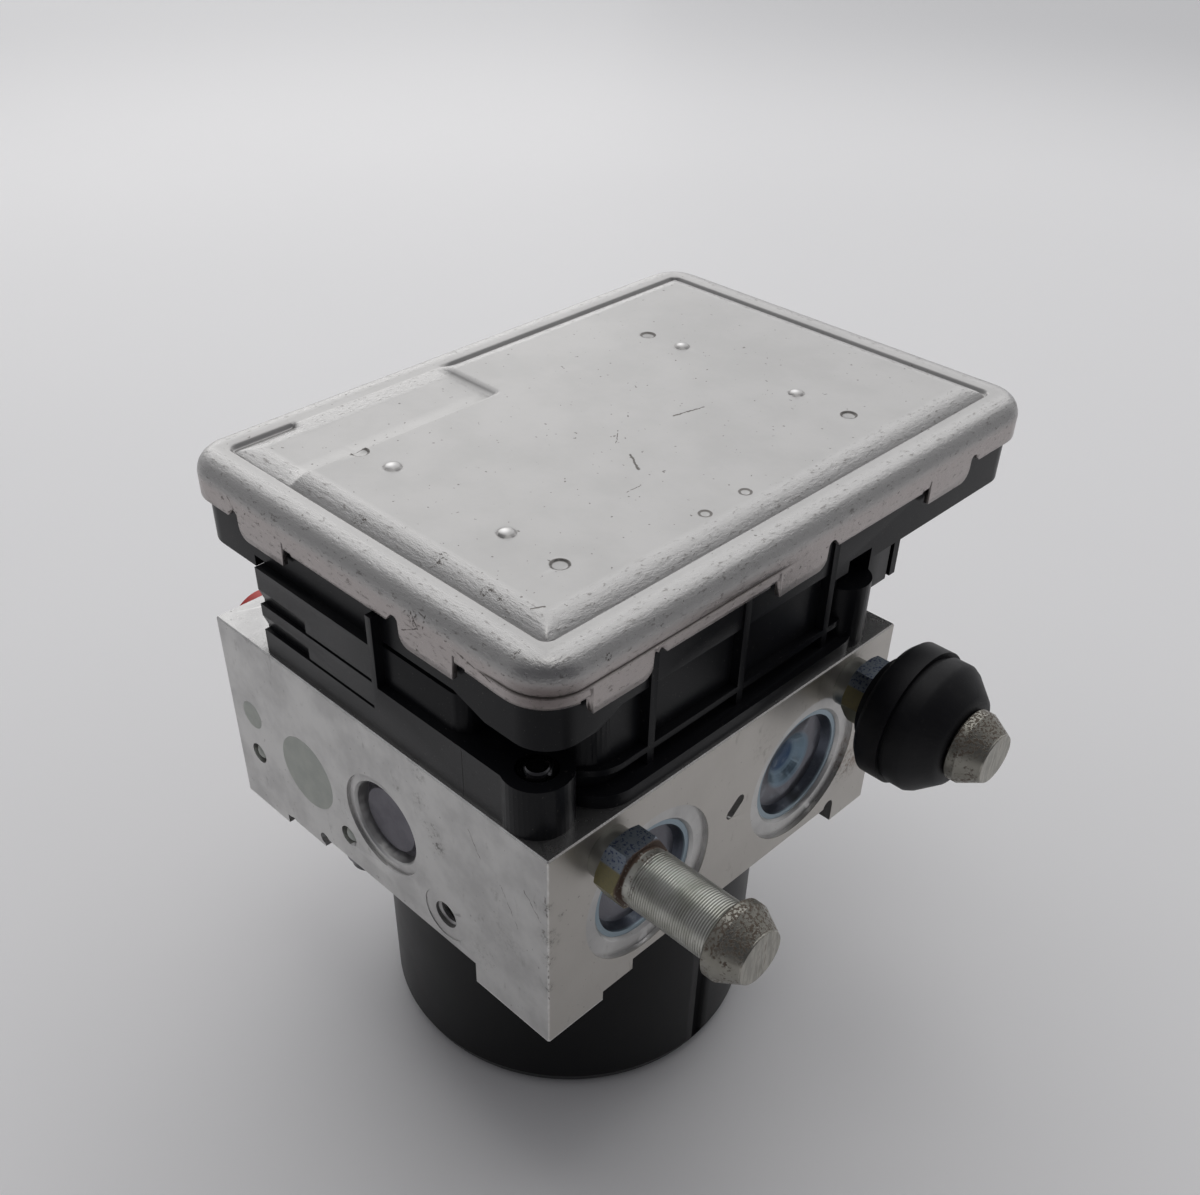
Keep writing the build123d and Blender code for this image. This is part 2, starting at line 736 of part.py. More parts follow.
def armature_winding():
    reach = winding_play
    half = slot_width / 2 - reach
    bar = brick(slot_inner + reach, slot_outer - reach, -half, half, winding_low, winding_high)
    winding = [
        rod_z(slot_outer - reach, z0, z1) - rod_z(slot_inner + reach, z0 - 1, z1 + 1)
        for z0, z1 in ((winding_low, core_z - reach), (core_top + reach, winding_high))
    ]
    return Part() + winding + around(slot_count, bar)


def commutator():
    top = commutator_z + commutator_length
    return turned(
        (shaft_radius + press_gap, commutator_z), (commutator_radius + 1.2, commutator_z),
        (commutator_radius + 1.2, commutator_z + 0.8), (commutator_radius, commutator_z + 0.8),
        (commutator_radius, top), (commutator_radius - 1.5, top),
        (commutator_radius - 1.5, top - 0.5), (shaft_radius + press_gap, top - 0.5),
    )


def brush_block(side):
    x0, x1 = sorted((side * brush_in, side * brush_out))
    return brick(x0, x1, -brush[1] / 2, brush[1] / 2, brush_z - brush[2] / 2, brush_z + brush[2] / 2)


def brush_plate():
    top = foot_z - 0.2
    inner = can_radius - can_wall - magnet_play
    plate = rod_z(inner, top - brush_plate_thick, top)
    half_y = brush[1] / 2 + 0.1
    half_z = brush[2] / 2 + 0.1
    wall = brush_guide_wall
    for side in ends:
        x0, x1 = sorted((side * (brush_in + 2), side * (guide_out + wall)))
        plate += brick(x0, x1, -half_y - wall, half_y + wall, brush_z - half_z - wall, top)
        x0, x1 = sorted((side * commutator_radius, side * guide_out))
        plate -= brick(x0, x1, -half_y, half_y, brush_z - half_z, brush_z + half_z)
    return plate - rod_z(commutator_radius + commutator_clear, commutator_z, top + 1)


def brush_spring(side):
    spring = coil_spring(brush_spring_radius, brush_spring_wire, guide_out - brush_out - 0.1, 3)
    return along_x(spring, side * (brush_out + 0.05), 0, brush_z, side)


# ---------------------------------------------------------------- controller
def lid_form(sheet):
    """Solid whose outside is the cover's skin, moved in and down by the sheet thickness."""
    top = rim_z - sheet
    x0, x1, y0, y1 = lid_left, lid_right, lid_front, lid_back
    low = skirt_z - (1 if sheet else 0)
    form = slab(x0 + sheet, x1 - sheet, y0 + sheet, y1 - sheet, low, top, lid_corner - sheet)
    form = fillet(form.edges().group_by(Axis.Z)[-1], lid_bend - sheet)
    inset = panel_inset
    wide = x1 - x0 - 2 * inset
    long = y1 - y0 - 2 * inset
    middle = Pos((x0 + x1) / 2, (y0 + y1) / 2, top - 0.01)
    notch_x = x0 + notch_width
    notch_y = y0 + notch_end
    outline = middle * RectangleRounded(wide, long, lid_corner)
    outline -= Pos((x0 + notch_x) / 2, (y0 + notch_y) / 2, top - 0.01) * RectangleRounded(
        notch_x - x0, notch_y - y0, lid_corner / 2
    )
    form += extrude(outline, panel_rise + 0.01, taper=panel_slope)
    ring = slab(
        x0 + groove_inset - groove_width / 2, x1 - groove_inset + groove_width / 2,
        y0 + groove_inset - groove_width / 2, y1 - groove_inset + groove_width / 2,
        top - groove_deep, top + 1, lid_corner - 1,
    )
    ring -= slab(
        x0 + groove_inset + groove_width / 2, x1 - groove_inset - groove_width / 2,
        y0 + groove_inset + groove_width / 2, y1 - groove_inset - groove_width / 2,
        top - groove_deep - 1, top + 2, lid_corner - 1 - groove_width,
    )
    gap = brick(x0, x0 + groove_inset + groove_width, y0 + groove_gap_from, notch_y, top - 3, top + 3)
    return form - (ring - gap)


def press_marks(shell):
    """Small round marks pressed up or down in the cover's raised panel."""
    top = rim_z + panel_rise
    under = top - lid_sheet
    ball = (mark_radius ** 2 + mark_rise ** 2) / (2 * mark_rise)
    for x, y in raised_marks:
        middle = Pos(x, y, top + mark_rise - ball)
        near = brick(x - 2, x + 2, y - 2, y + 2, under + 0.2, top + 1)
        shell += middle * Sphere(ball) & near
        shell -= middle * Sphere(ball - lid_sheet)
    for x, y in sunk_marks:
        middle = Pos(x, y, top - mark_rise + ball)
        near = brick(x - 2, x + 2, y - 2, y + 2, under - 1, under + 0.2)
        shell += middle * Sphere(ball + lid_sheet) & near
        shell -= middle * Sphere(ball)
    return shell


def lid():
    shell = press_marks(lid_form(0.0) - lid_form(lid_sheet))
    low = skirt_z - tab_drop
    slit_top = skirt_z + tab_slit_rise
    half = tab_width / 2
    for side in ends:
        face = lid_front if side < 0 else lid_back
        y0, y1 = sorted((face, face - side * lid_sheet))
        for place in front_tabs:
            x = lid_left + place
            shell += brick(x - half, x + half, y0, y1, low, skirt_z + 0.5)
            for end in ends:
                cut = x + end * (half + tab_slit / 2)
                shell -= brick(cut - tab_slit / 2, cut + tab_slit / 2, y0 - 1, y1 + 1, low - 1, slit_top)
        face = lid_left if side < 0 else lid_right
        x0, x1 = sorted((face, face - side * lid_sheet))
        for place in side_tabs:
            y = lid_front + place
            shell += brick(x0, x1, y - half, y + half, low, skirt_z + 0.5)
            for end in ends:
                cut = y + end * (half + tab_slit / 2)
                shell -= brick(x0 - 1, x1 + 1, cut - tab_slit / 2, cut + tab_slit / 2, low - 1, slit_top)
    return shell


def tray_rim(inset, z0, z1):
    corner = max(lid_corner - inset, 1.0)
    return slab(lid_left + inset, lid_right - inset, lid_front + inset, lid_back - inset, z0, z1, corner)


def tray():
    """Upper part of the housing: floor, deep corners, wall under the cover's rim."""
    x0, x1 = lid_left + tray_inset, lid_right - tray_inset
    y0, y1 = lid_front + tray_inset, lid_back - tray_inset
    full = tray_rim(tray_inset, pad_under, seal_z)
    near_x = x1 - pad_front_right
    near_y = y0 + pad_side
    pad_low = [
        (near_x + pad_slopes[0], pad_under), (near_x, tray_under),
        (x1 + 1, tray_under), (x1 + 1, pad_under),
    ]
    pad_side_low = [
        (near_y - pad_slopes[1], pad_under), (near_y, tray_under),
        (y0 - 1, tray_under), (y0 - 1, pad_under),
    ]
    keep = [
        tray_rim(tray_inset, tray_under, seal_z),
        prism("y", pad_low, y0, near_y) & prism("x", pad_side_low, near_x, x1),
        brick(x0, x0 + pad_front_left, y0, y0 + pad_side, pad_under, tray_under),
        brick(x0, x1, pad_back, y1, pad_under, tray_under),
    ]
    body = full & (Part() + keep)
    body -= tray_rim(tray_inset + tray_wall, floor_top, seal_z + 1)
    wall = tray_wall
    low = pad_under + tray_floor_thick
    return body - brick(x0 + wall, x1 - wall, body_back + wall, y1 - wall, low, floor_top + 1)


def lower_body():
    top = tray_under + 0.5
    base = block_top
    bump_right = boss_near[0] - boss_radius - 2
    wall = slab(body_left, body_right, base_front, body_back, base, top, body_corner)
    wall += brick(body_left, bump_right, body_front, body_back - body_corner, base, top)
    wall += slab(body_left, base_right, base_front, base_back, base, base + base_height, base_corner)
    low = base + low_rib_height
    rib_right = body_right + rib_reach
    wall += slab(body_left, rib_right, base_front, body_back, low, low + low_rib_thick, base_corner)
    for y in wall_ribs:
        half = rib_wide / 2
        wall += brick(body_right - 0.5, rib_right, y - half, y + half, base, skirt_z - rib_end)
    panel_rib_right = panel_right + panel_rib
    tray_front = lid_front + tray_inset
    wall_top = base + front_wall_height
    wall += brick(panel_left, boss_near[0], plinth_front, body_front + 1, base, base + plinth_height)
    wall += brick(panel_left, panel_right, plinth_front, body_front + 1, base, base + panel_height)
    wall += brick(panel_left, panel_right, tray_front, body_front + 1, base, top)
    wall += brick(panel_right, panel_rib_right, plinth_front, body_front + 1, base, top)
    wall += brick(panel_right, panel_rib_right, plinth_front, tray_front + 1, base, skirt_z - panel_rib_end)
    wall += slab(panel_right - 5, front_wall_right, front_wall, base_front, base, wall_top, front_wall_corner)
    upper_wall = slab(
        panel_right - 5, front_wall_right - front_wall_back, front_wall + front_wall_back, base_front,
        base, top, front_wall_corner,
    )
    wall += upper_wall
    line_high, line_deep = panel_line
    long, high, deep = panel_pocket
    for low in panel_lines:
        z = base + low
        line_end = plinth_front + line_deep
        wall -= brick(panel_left - 1, panel_right, plinth_front - 1, line_end, z, z + line_high)
        outline = [
            (plinth_front - 1, z), (plinth_front + deep, z), (plinth_front + deep, z + line_high),
            (plinth_front, z + high), (plinth_front - 1, z + high),
        ]
        wall -= prism("x", outline, panel_left - 1, panel_left + long)
    wall += brick(bump_right - 1, boss_near[0], body_front - 1, base_front + 1, base, base + plinth_height)
    return wall


def screw_bosses():
    bosses = [rod_z(far_column_radius, block_top, block_top + far_column_height, *far_column)]
    top = block_top + boss_height
    for x, y in screw_places:
        bosses.append(rod_z(boss_radius, block_top, top, x, y))
        if x < body_left:
            bosses.append(brick(x, body_left + 1, y - boss_radius, y + boss_radius, block_top, top))
    return bosses


def screw_cuts():
    cuts = [rod_z(far_column_radius - 0.7, block_top + far_column_height, tray_under, *far_column)]
    top = block_top + boss_height
    for x, y in screw_places:
        cuts.append(rod_z(screw_radius + 0.3, block_top - 1, top + 1, x, y))
        sink_top = top + 1 if x > 0 else tray_under
        cuts.append(rod_z(screw_sink_radius, top - screw_sink, sink_top, x, y))
    return cuts


def connector_shroud():
    x1 = shroud_right
    x0 = x1 - shroud_length
    y1 = shroud_back
    y0 = y1 - shroud_width
    low = pad_under - shroud_drop
    w = shroud_wall
    outer = slab(x0, x1, y0, y1, low, pad_under + 0.5, 3.0)
    inner = slab(x0 + w, x1 - w, y0 + w, y1 - w, low - 1, pad_under - shroud_floor, 1.5)
    cross_low = pad_under - shroud_cross_drop
    right = lid_right - tray_inset - 0.6
    cross = brick(body_left, right, shroud_front, shroud_front + shroud_cross, cross_low, pad_under + 0.5)
    groove_y = shroud_front + shroud_cross * 0.68
    cross -= brick(right - 1.2, right + 1, groove_y, groove_y + 1.2, cross_low - 1, pad_under + 1)
    return [outer - inner, cross]


def pin_places():
    y_middle = shroud_back - shroud_width / 2
    first = shroud_right - shroud_length + shroud_wall + pin_margin
    last = shroud_right - shroud_wall - pin_margin
    columns = int((last - first - blade_pitch - field_gap) / pin_pitch) + 1
    signal = [
        (first + i * pin_pitch, y_middle + (j - (pin_rows - 1) / 2) * pin_row_pitch)
        for i in range(columns) for j in range(pin_rows)
    ]
    power = [(last - i * blade_pitch, y_middle + side * blade_pitch * 0.7) for i in range(2) for side in ends]
    return signal, power


def housing():
    body = Part() + [tray(), lower_body()] + screw_bosses() + connector_shroud()
    wall = body_wall
    inner_right = body_right - wall
    bump_right = boss_near[0] - boss_radius - 2 - wall
    cavity = slab(
        body_left + wall, inner_right, base_front + wall, body_back - wall,
        block_top - 1, floor_top + 1, body_corner - wall,
    )
    cavity += brick(body_left + wall, bump_right, body_front + wall, 0, block_top - 1, floor_top + 1)
    front = lid_front + tray_inset + tray_wall
    cavity += brick(
        panel_left + wall, front_wall_right - 3, front, body_front + 3, block_top - 1, floor_top + 1,
    )
    body -= cavity
    body -= screw_cuts()
    pocket = brick(
        front_wall_right - 1, bump_right + wall, plinth_front + wall, body_front,
        block_top - 1, block_top + plinth_height - wall,
    )
    body -= pocket
    signal, power = pin_places()
    z0 = pad_under - shroud_floor - 1
    z1 = floor_top + 1
    body -= [brick(x - 0.5, x + 0.5, y - 0.5, y + 0.5, z0, z1) for x, y in signal]
    body -= [brick(x - 3, x + 3, y - 1.1, y + 1.1, z0, z1) for x, y in power]
    return body


def pin_group(places, wide, deep):
    low = pad_under - shroud_floor - pin_reach
    w, d = wide / 2, deep / 2
    return Compound([brick(x - w, x + w, y - d, y + d, low, board_z) for x, y in places])


def circuit_board():
    edge = tray_inset + tray_wall + board_gap
    return tray_rim(edge, board_z, board_z + board_thick)


def lid_seal():
    outer = tray_inset + (tray_wall - seal_wide) / 2
    ring = tray_rim(outer, seal_z, rim_z) - tray_rim(outer + seal_wide, seal_z - 1, rim_z + 1)
    return ring & lid_form(lid_sheet + press_gap)


def valve(x, y):
    low = block_top - valve_seat_depth
    top = block_top + valve_stem_height
    lip = valve_seat_radius + valve_lip
    body = turned(
        (0, low), (valve_seat_radius - press_gap, low), (valve_seat_radius - press_gap, block_top),
        (lip, block_top), (lip, block_top + 0.7), (valve_stem_radius, block_top + 0.7),
        (valve_stem_radius, top - 1.2), (valve_stem_radius - 1.2, top), (0, top),
    )
    return Pos(x, y, 0) * body


def coil(x, y):
    top = coil_z + coil_height
    bore = valve_stem_radius + 0.15
    waist = coil_radius - 0.8
    body = turned(
        (bore, coil_z), (coil_radius, coil_z), (coil_radius, coil_z + 1.2), (waist, coil_z + 1.2),
        (waist, top - 1.2), (coil_radius, top - 1.2), (coil_radius, top), (bore, top),
    )
    for side in ends:
        px = side * (coil_radius - 1.6)
        body += brick(px - 0.4, px + 0.4, -0.4, 0.4, top - 0.5, board_z)
    return Pos(x, y, 0) * body


def pressure_sensor():
    low = block_top - valve_seat_depth
    x, y = sensor_place
    return Pos(x, y, 0) * turned(
        (0, low), (sensor_radius - press_gap, low), (sensor_radius - press_gap, block_top),
        (sensor_radius + 1, block_top), (sensor_radius + 1, block_top + 2),
        (sensor_radius - 0.8, block_top + 2),
        (sensor_radius - 0.8, block_top + sensor_height), (0, block_top + sensor_height),
    )


def housing_screws():
    seat = block_top + boss_height - screw_sink
    thread = screw_radius - press_gap
    flange = seat + screw_flange
    head = seat + screw_head_height
    drive = screw_head_radius - 0.6
    screw = turned(
        (0, block_top - screw_thread_length), (thread, block_top - screw_thread_length),
        (thread, seat), (screw_flange_radius, seat), (screw_flange_radius, flange),
        (screw_head_radius, flange),
        (screw_head_radius, head - 0.3), (screw_head_radius - 0.3, head), (drive, head),
        (drive - 0.2, head - 1.3), (0, head - 1.3),
    )
    return Compound([Pos(x, y, 0) * screw for x, y in screw_places])


# ---------------------------------------------------------------- write every piece
save(hydraulic_block(), "hydraulic_block")
save(press_plug(), "press_plug")
save(ball_plugs(), "ball_plugs")
save(transport_plug(), "transport_plug")
for side in ends:
    save(pump_cap(side), f"pump_cap_{side_name[side]}")
    save(pump_piston(side), f"pump_piston_{side_name[side]}")
    save(pump_spring(side), f"pump_spring_{side_name[side]}")
for name, y in zip(side_name.values(), accumulator_ys):
    save(accumulator_cover(y), f"accumulator_cover_{name}")
    save(accumulator_piston(y), f"accumulator_piston_{name}")
    save(accumulator_spring(y), f"accumulator_spring_{name}")
for name, y in zip(side_name.values(), stud_ys):
    save(stud(y), f"mounting_stud_{name}")
save(grommet(stud_ys[1]), "stud_grommet")

save(motor_can(), "motor_can")
save(motor_plate(), "motor_end_plate")
save(motor_screws(), "motor_screws")
save(bearing(rear_bearing_radius, bearing_floor), "bearing_rear")
save(bearing(front_bearing_radius, hub_top - bearing_thick), "bearing_front")
for side in ends:
    save(Rot(0, 0, side * 90) * magnet(), f"magnet_{side_name[side]}")
    hand = "left" if side < 0 else "right"
    save(brush_block(side), f"brush_{hand}")
    save(brush_spring(side), f"brush_spring_{hand}")
save(brush_plate(), "brush_plate")
save(motor_shaft(), "motor_shaft")
save(armature_core(), "armature_core")
save(armature_winding(), "armature_winding")
save(commutator(), "commutator")
save(eccentric_ring(), "eccentric_ring")

save(housing(), "housing")
save(lid(), "lid")
save(lid_seal(), "lid_seal")
save(circuit_board(), "circuit_board")
signal_pins, power_pins = pin_places()
save(pin_group(signal_pins, pin_side, pin_side), "signal_pins")
save(pin_group(power_pins, blade[1], blade[0] / 2), "power_pins")
save(housing_screws(), "housing_screws")
save(pressure_sensor(), "pressure_sensor")
for number, (x, y) in enumerate(valve_places, 1):
    save(valve(x, y), f"valve_{number}")
    save(coil(x, y), f"coil_{number}")
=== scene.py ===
# Looks for an anti-lock brake hydraulic unit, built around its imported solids.
import math

import bmesh
import bpy
from mathutils import Matrix, Vector


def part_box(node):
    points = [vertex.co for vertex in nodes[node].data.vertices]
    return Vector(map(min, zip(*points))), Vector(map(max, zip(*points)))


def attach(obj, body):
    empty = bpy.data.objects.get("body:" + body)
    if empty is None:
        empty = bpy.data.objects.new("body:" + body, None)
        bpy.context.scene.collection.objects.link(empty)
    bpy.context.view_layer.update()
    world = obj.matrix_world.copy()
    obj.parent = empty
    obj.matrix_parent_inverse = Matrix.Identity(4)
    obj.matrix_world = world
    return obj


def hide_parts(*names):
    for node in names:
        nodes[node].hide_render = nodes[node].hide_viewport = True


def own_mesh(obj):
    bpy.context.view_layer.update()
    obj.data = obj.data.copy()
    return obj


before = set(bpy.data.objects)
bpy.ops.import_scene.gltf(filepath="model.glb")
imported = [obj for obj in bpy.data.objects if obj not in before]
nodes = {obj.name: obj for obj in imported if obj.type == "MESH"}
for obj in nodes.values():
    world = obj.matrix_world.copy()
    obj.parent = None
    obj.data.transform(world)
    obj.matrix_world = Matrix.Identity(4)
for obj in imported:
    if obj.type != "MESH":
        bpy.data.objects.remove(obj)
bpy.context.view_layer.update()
mm = 0.001  # metres in a millimetre
scene = bpy.context.scene

coverSizes = {  # millimetres; heights are from the motor's closed end
    "left": -47.8,
    "front": -41.7,
    "width": 85.0,
    "length": 117.6,
    "corner": 7.4,
    "bend": 3.4,
    "rim": 112.8,
    "bandEnd": 5.5,
    "grooveAt": 6.25,
    "grooveFloor": 111.95,
    "panelAt": 10.0,
    "panelTop": 113.68,
    "notchWide": 21.3,
    "notchLong": 48.4,
    "grooveStops": 17.7,
    "lipX": 22.0,
    "lipY": 2.0,
    "lipCrease": 107.75,
    "skirtTop": 107.5,
    "slitTop": 107.35,
    "slit": 0.45,
    "reliefTop": 107.5,
    "relief": 1.9,
    "hem": 106.0,
    "cutHem": 106.35,
    "cut": 2.6,
    "tabEnd": 103.1,
    "tabHalf": 5.85,
    "tabRound": 2.2,
    "sheet": 0.9,
}
frontTabs = (21.6, 61.1)  # tab centres along the front and back edges, then along the sides
sideTabs = (14.5, 53.7, 92.9)
pressings = [  # pips and dimples of the cover: x, y, radius, height
    (-24.9, -22.5, 1.35, -0.42),
    (-17.6, -21.8, 1.35, 0.42),
    (8.9, -22.2, 1.35, 0.42),
    (20.2, -22.5, 1.35, -0.42),
    (-24.3, 43.2, 1.25, -0.42),
    (-16.7, 44.1, 1.25, 0.42),
    (9.5, 43.9, 1.25, 0.42),
    (20.6, 43.7, 1.25, -0.42),
    (25.1, 11.6, 0.9, -0.16),
    (25.1, 2.4, 0.9, -0.16),
]


# one socket of a tree; arithmetic on it adds Math nodes
class Wire:
    def __init__(self, tree, socket):
        self.tree = tree
        self.socket = socket

    def sum(self, operation, left, right):
        return self.tree.node("ShaderNodeMath", {"operation": operation}, {0: left, 1: right})

    def __add__(self, other):
        return self.sum("ADD", self, other)

    def __sub__(self, other):
        return self.sum("SUBTRACT", self, other)

    def __rsub__(self, other):
        return self.sum("SUBTRACT", other, self)

    def __mul__(self, other):
        return self.sum("MULTIPLY", self, other)

    def __truediv__(self, other):
        return self.sum("DIVIDE", self, other)

    def __pow__(self, other):
        return self.sum("POWER", self, other)

    __radd__ = __add__
    __rmul__ = __mul__

    def least(self, other):
        return self.sum("MINIMUM", self, other)

    def most(self, other):
        return self.sum("MAXIMUM", self, other)

    def size(self):
        return self.sum("ABSOLUTE", self, 0.0)

    def wave(self):
        return self.sum("SINE", self, 0.0)

    def step(self, low, high):  # 0 below low, 1 above high, smooth between
        return self.tree.node(
            "ShaderNodeMapRange",
            {"interpolation_type": "SMOOTHSTEP"},
            {"Value": self, "From Min": low, "From Max": high},
        )


# a node tree of any kind, whose nodes all come from one method
class Tree:
    def __init__(self, tree):
        self.tree = tree

    def feed(self, socket, value):
        if isinstance(value, Wire):
            self.tree.links.new(value.socket, socket)
        elif socket.type == "RGBA" and len(value) == 3:
            socket.default_value = (*value, 1.0)
        else:
            socket.default_value = value

    def node(self, kind, settings, inputs, out=0):
        made = self.tree.nodes.new(kind)
        for key, value in settings.items():
            setattr(made, key, value)
        for key, value in inputs.items():
            self.feed(made.inputs[key], value)
        return Wire(self, made.outputs[out])

    def mix(self, factor, first, second):
        return self.node("ShaderNodeMix", {"data_type": "RGBA"}, {0: factor, 6: first, 7: second}, 2)

    def vector(self, operation, inputs, out=0):
        return self.node("ShaderNodeVectorMath", {"operation": operation}, inputs, out)


# one material; sizes and places are in millimetres on the Object coordinates
class Finish(Tree):
    def __init__(self, name):
        self.material = bpy.data.materials.new(name)
        self.material.use_nodes = True
        super().__init__(self.material.node_tree)
        self.tree.nodes.clear()
        self.shader = self.tree.nodes.new("ShaderNodeBsdfPrincipled")
        output = self.tree.nodes.new("ShaderNodeOutputMaterial")
        self.tree.links.new(self.shader.outputs[0], output.inputs["Surface"])
        self.place = self.node("ShaderNodeTexCoord", {}, {}, "Object")

    def axes(self):
        split = self.node("ShaderNodeSeparateXYZ", {}, {"Vector": self.place})
        outs = split.socket.node.outputs
        return [Wire(self, outs[i]) / mm for i in range(3)]

    def grain(self, size, detail=3.0, rough=0.55, stretch=(1, 1, 1), shift=0.0):
        scale = 1.0 / (size * mm)
        spot = self.node(
            "ShaderNodeMapping",
            {},
            {"Vector": self.place, "Location": (shift, shift, shift), "Scale": [scale / s for s in stretch]},
        )
        inputs = {"Vector": spot, "Scale": 1.0, "Detail": detail, "Roughness": rough}
        return self.node("ShaderNodeTexNoise", {}, inputs)

    def bump(self, height, depth, normal=None):
        inputs = {"Height": height, "Distance": depth * mm, "Strength": 1.0}
        if normal:
            inputs["Normal"] = normal
        return self.node("ShaderNodeBump", {}, inputs)

    def away(self, first, second):  # the distance between two places
        return self.vector("DISTANCE", {0: first, 1: second}, "Value") / mm

    def spot(self, point, radius):  # 1 at the point, 0 beyond the radius
        return 1 - self.away(self.place, [v * mm for v in point]).step(0.0, radius)

    def ring(self, point, radius, width):  # 1 on a circle round the point
        far = self.away(self.place, [v * mm for v in point])
        return 1 - (far - radius).size().step(width * 0.4, width)

    def line(self, start, end, width, place=None):  # 1 on a straight scratch between two points
        first, run = Vector(start) * mm, (Vector(end) - Vector(start)) * mm
        rest = self.vector("SUBTRACT", {0: place or self.place, 1: first})
        along = self.vector("DOT_PRODUCT", {0: rest, 1: run}, "Value") / run.length_squared
        near = self.vector("SCALE", {0: run, "Scale": along.most(0.0).least(1.0)})
        return 1 - self.away(rest, near).step(width * 0.35, width)

    def wobble(self, size, reach):  # Object coordinates pushed about, for lines that wander
        inputs = {"Vector": self.place, "Scale": 1.0 / (size * mm), "Detail": 2.0}
        noise = self.node("ShaderNodeTexNoise", {}, inputs, "Color")
        push = self.vector("SUBTRACT", {0: noise, 1: (0.5, 0.5, 0.5)})
        return self.vector("ADD", {0: self.place, 1: self.vector("SCALE", {0: push, "Scale": reach * mm})})

    def paint(self, **sockets):
        for name, value in sockets.items():
            self.feed(self.shader.inputs[name.replace("_", " ")], value)
        return self.material


def machinedAluminium():
    look = {
        "bright": (0.58, 0.575, 0.565),
        "dull": (0.46, 0.455, 0.45),
        "warmShade": (0.50, 0.475, 0.44),
        "stain": (0.13, 0.12, 0.11),
        "rust": (0.20, 0.12, 0.07),
        "edge": (0.88, 0.88, 0.87),
    }
    smudges = [  # place, radius, strength
        ((13.2, -43.0, 71.5), 2.4, 1.0),
        ((14.6, -43.0, 68.8), 2.0, 0.9),
        ((10.6, -43.0, 75.8), 2.2, 0.6),
        ((5.2, -43.0, 75.6), 1.6, 0.7),
        ((11.0, -43.0, 81.6), 1.8, 0.7),
        ((38.6, -43.0, 73.5), 1.6, 1.0),
        ((38.8, -43.0, 68.0), 1.9, 1.0),
        ((39.0, -43.0, 62.4), 1.8, 1.0),
        ((39.0, -43.0, 56.5), 1.4, 0.9),
        ((39.0, -40.5, 70.6), 1.0, 0.8),
        ((39.0, -41.6, 66.0), 1.6, 0.6),
        ((24.0, -43.0, 52.0), 4.0, 0.35),
        ((30.0, -43.0, 60.0), 5.0, 0.25),
        ((39.0, 27.0, 80.0), 5.0, 0.4),
        ((39.0, 31.5, 56.0), 5.0, 0.8),
        ((39.0, 5.0, 76.0), 4.0, 0.3),
    ]
    scratches = [
        ((29.0, -43.0, 71.0), (32.5, -43.0, 64.5), 0.10),
        ((34.0, -43.0, 74.0), (37.5, -43.0, 70.0), 0.12),
        ((22.0, -43.0, 78.0), (24.5, -43.0, 73.5), 0.10),
        ((38.9, -43.0, 66.0), (39.0, -43.0, 53.0), 0.16),
        ((38.4, -43.0, 76.0), (38.9, -43.0, 70.0), 0.14),
        ((39.0, -34.0, 60.0), (39.0, -30.0, 56.0), 0.10),
    ]
    fin = Finish("machinedAluminium")
    x, y, z = fin.axes()
    cloud = fin.grain(9, 4, 0.6)
    lines = fin.grain(0.22, 2, 0.5, stretch=(1, 1, 60))
    fine = fin.grain(0.3, 3, 0.6)
    smears = fin.grain(2.2, 5, 0.65, stretch=(1, 1, 2.4), shift=3.0).step(0.60, 0.78)
    specks = fin.grain(0.7, 2, 0.5, shift=7.0).step(0.71, 0.78)
    crumbs = fin.grain(0.7, 4, 0.75, shift=2.0).step(0.50, 0.62)
    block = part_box("hydraulic_block")
    lows = [v / mm for v in block[0]]
    highs = [v / mm for v in block[1]]
    colour = fin.mix(cloud.step(0.35, 0.7), look["bright"], look["dull"])
    # painted shade: the right face is painted darker and warmer than the others
    rightFaceShade = 1 - (highs[0] - x).size().step(0.1, 0.3)
    colour = fin.mix(rightFaceShade * 0.85, colour, look["warmShade"])
    colour = fin.mix(smears * 0.35, colour, look["stain"])
    colour = fin.mix(specks * 0.6, colour, look["stain"])
    marks = 0.0
    for point, radius, strength in smudges:
        marks = fin.spot(point, radius * 1.3) * strength + marks
    marks = (marks * (crumbs * 0.8 + 0.12)).least(1.0)
    wander = fin.wobble(1.2, 0.8)
    for start, end, width in scratches:
        marks = marks.most(fin.line(start, end, width, wander) * 0.8)
    colour = fin.mix(marks * 0.85, colour, look["stain"])
    rusty = fin.spot((39.0, 32.5, 58.0), 7.0) * fin.grain(1.6, 4, 0.7, shift=5.0).step(0.45, 0.62)
    colour = fin.mix(rusty * 0.7, colour, look["rust"])
    gaps = [(p - lo).size().least((hi - p).size()) for p, lo, hi in zip((x, y, z), lows, highs)]
    least = gaps[0].least(gaps[1]).least(gaps[2])
    most = gaps[0].most(gaps[1]).most(gaps[2])
    middle = gaps[0] + gaps[1] + gaps[2] - least - most
    # edges painted lighter: edge wear, with a painted highlight along them that the machining teeth break up
    # on the top right edge
    rim = 1 - (middle + fin.grain(1.5, 3) * 0.35).step(0.2, 0.5)
    teeth = (y * (2 * math.pi / 0.62)).wave().step(-0.4, 0.6)
    topRight = (1 - (z - highs[2]).size().step(0.3, 0.5)) * (1 - (x - highs[0]).size().step(0.3, 0.5))
    rim = rim * (1 - topRight * teeth * 0.8) * (1 - marks)
    colour = fin.mix(rim * 0.7, colour, look["edge"])
    onTop = 1 - (highs[2] - z).size().step(0.1, 0.3)
    rough = 0.31 + cloud * 0.12 + smears * 0.12 - rim * 0.06 - onTop * 0.12 + marks * 0.2
    normal = fin.bump(fine, 0.006, fin.bump(lines, 0.012))
    return fin.paint(Base_Color=colour, Metallic=0.92, Roughness=rough, Normal=normal)


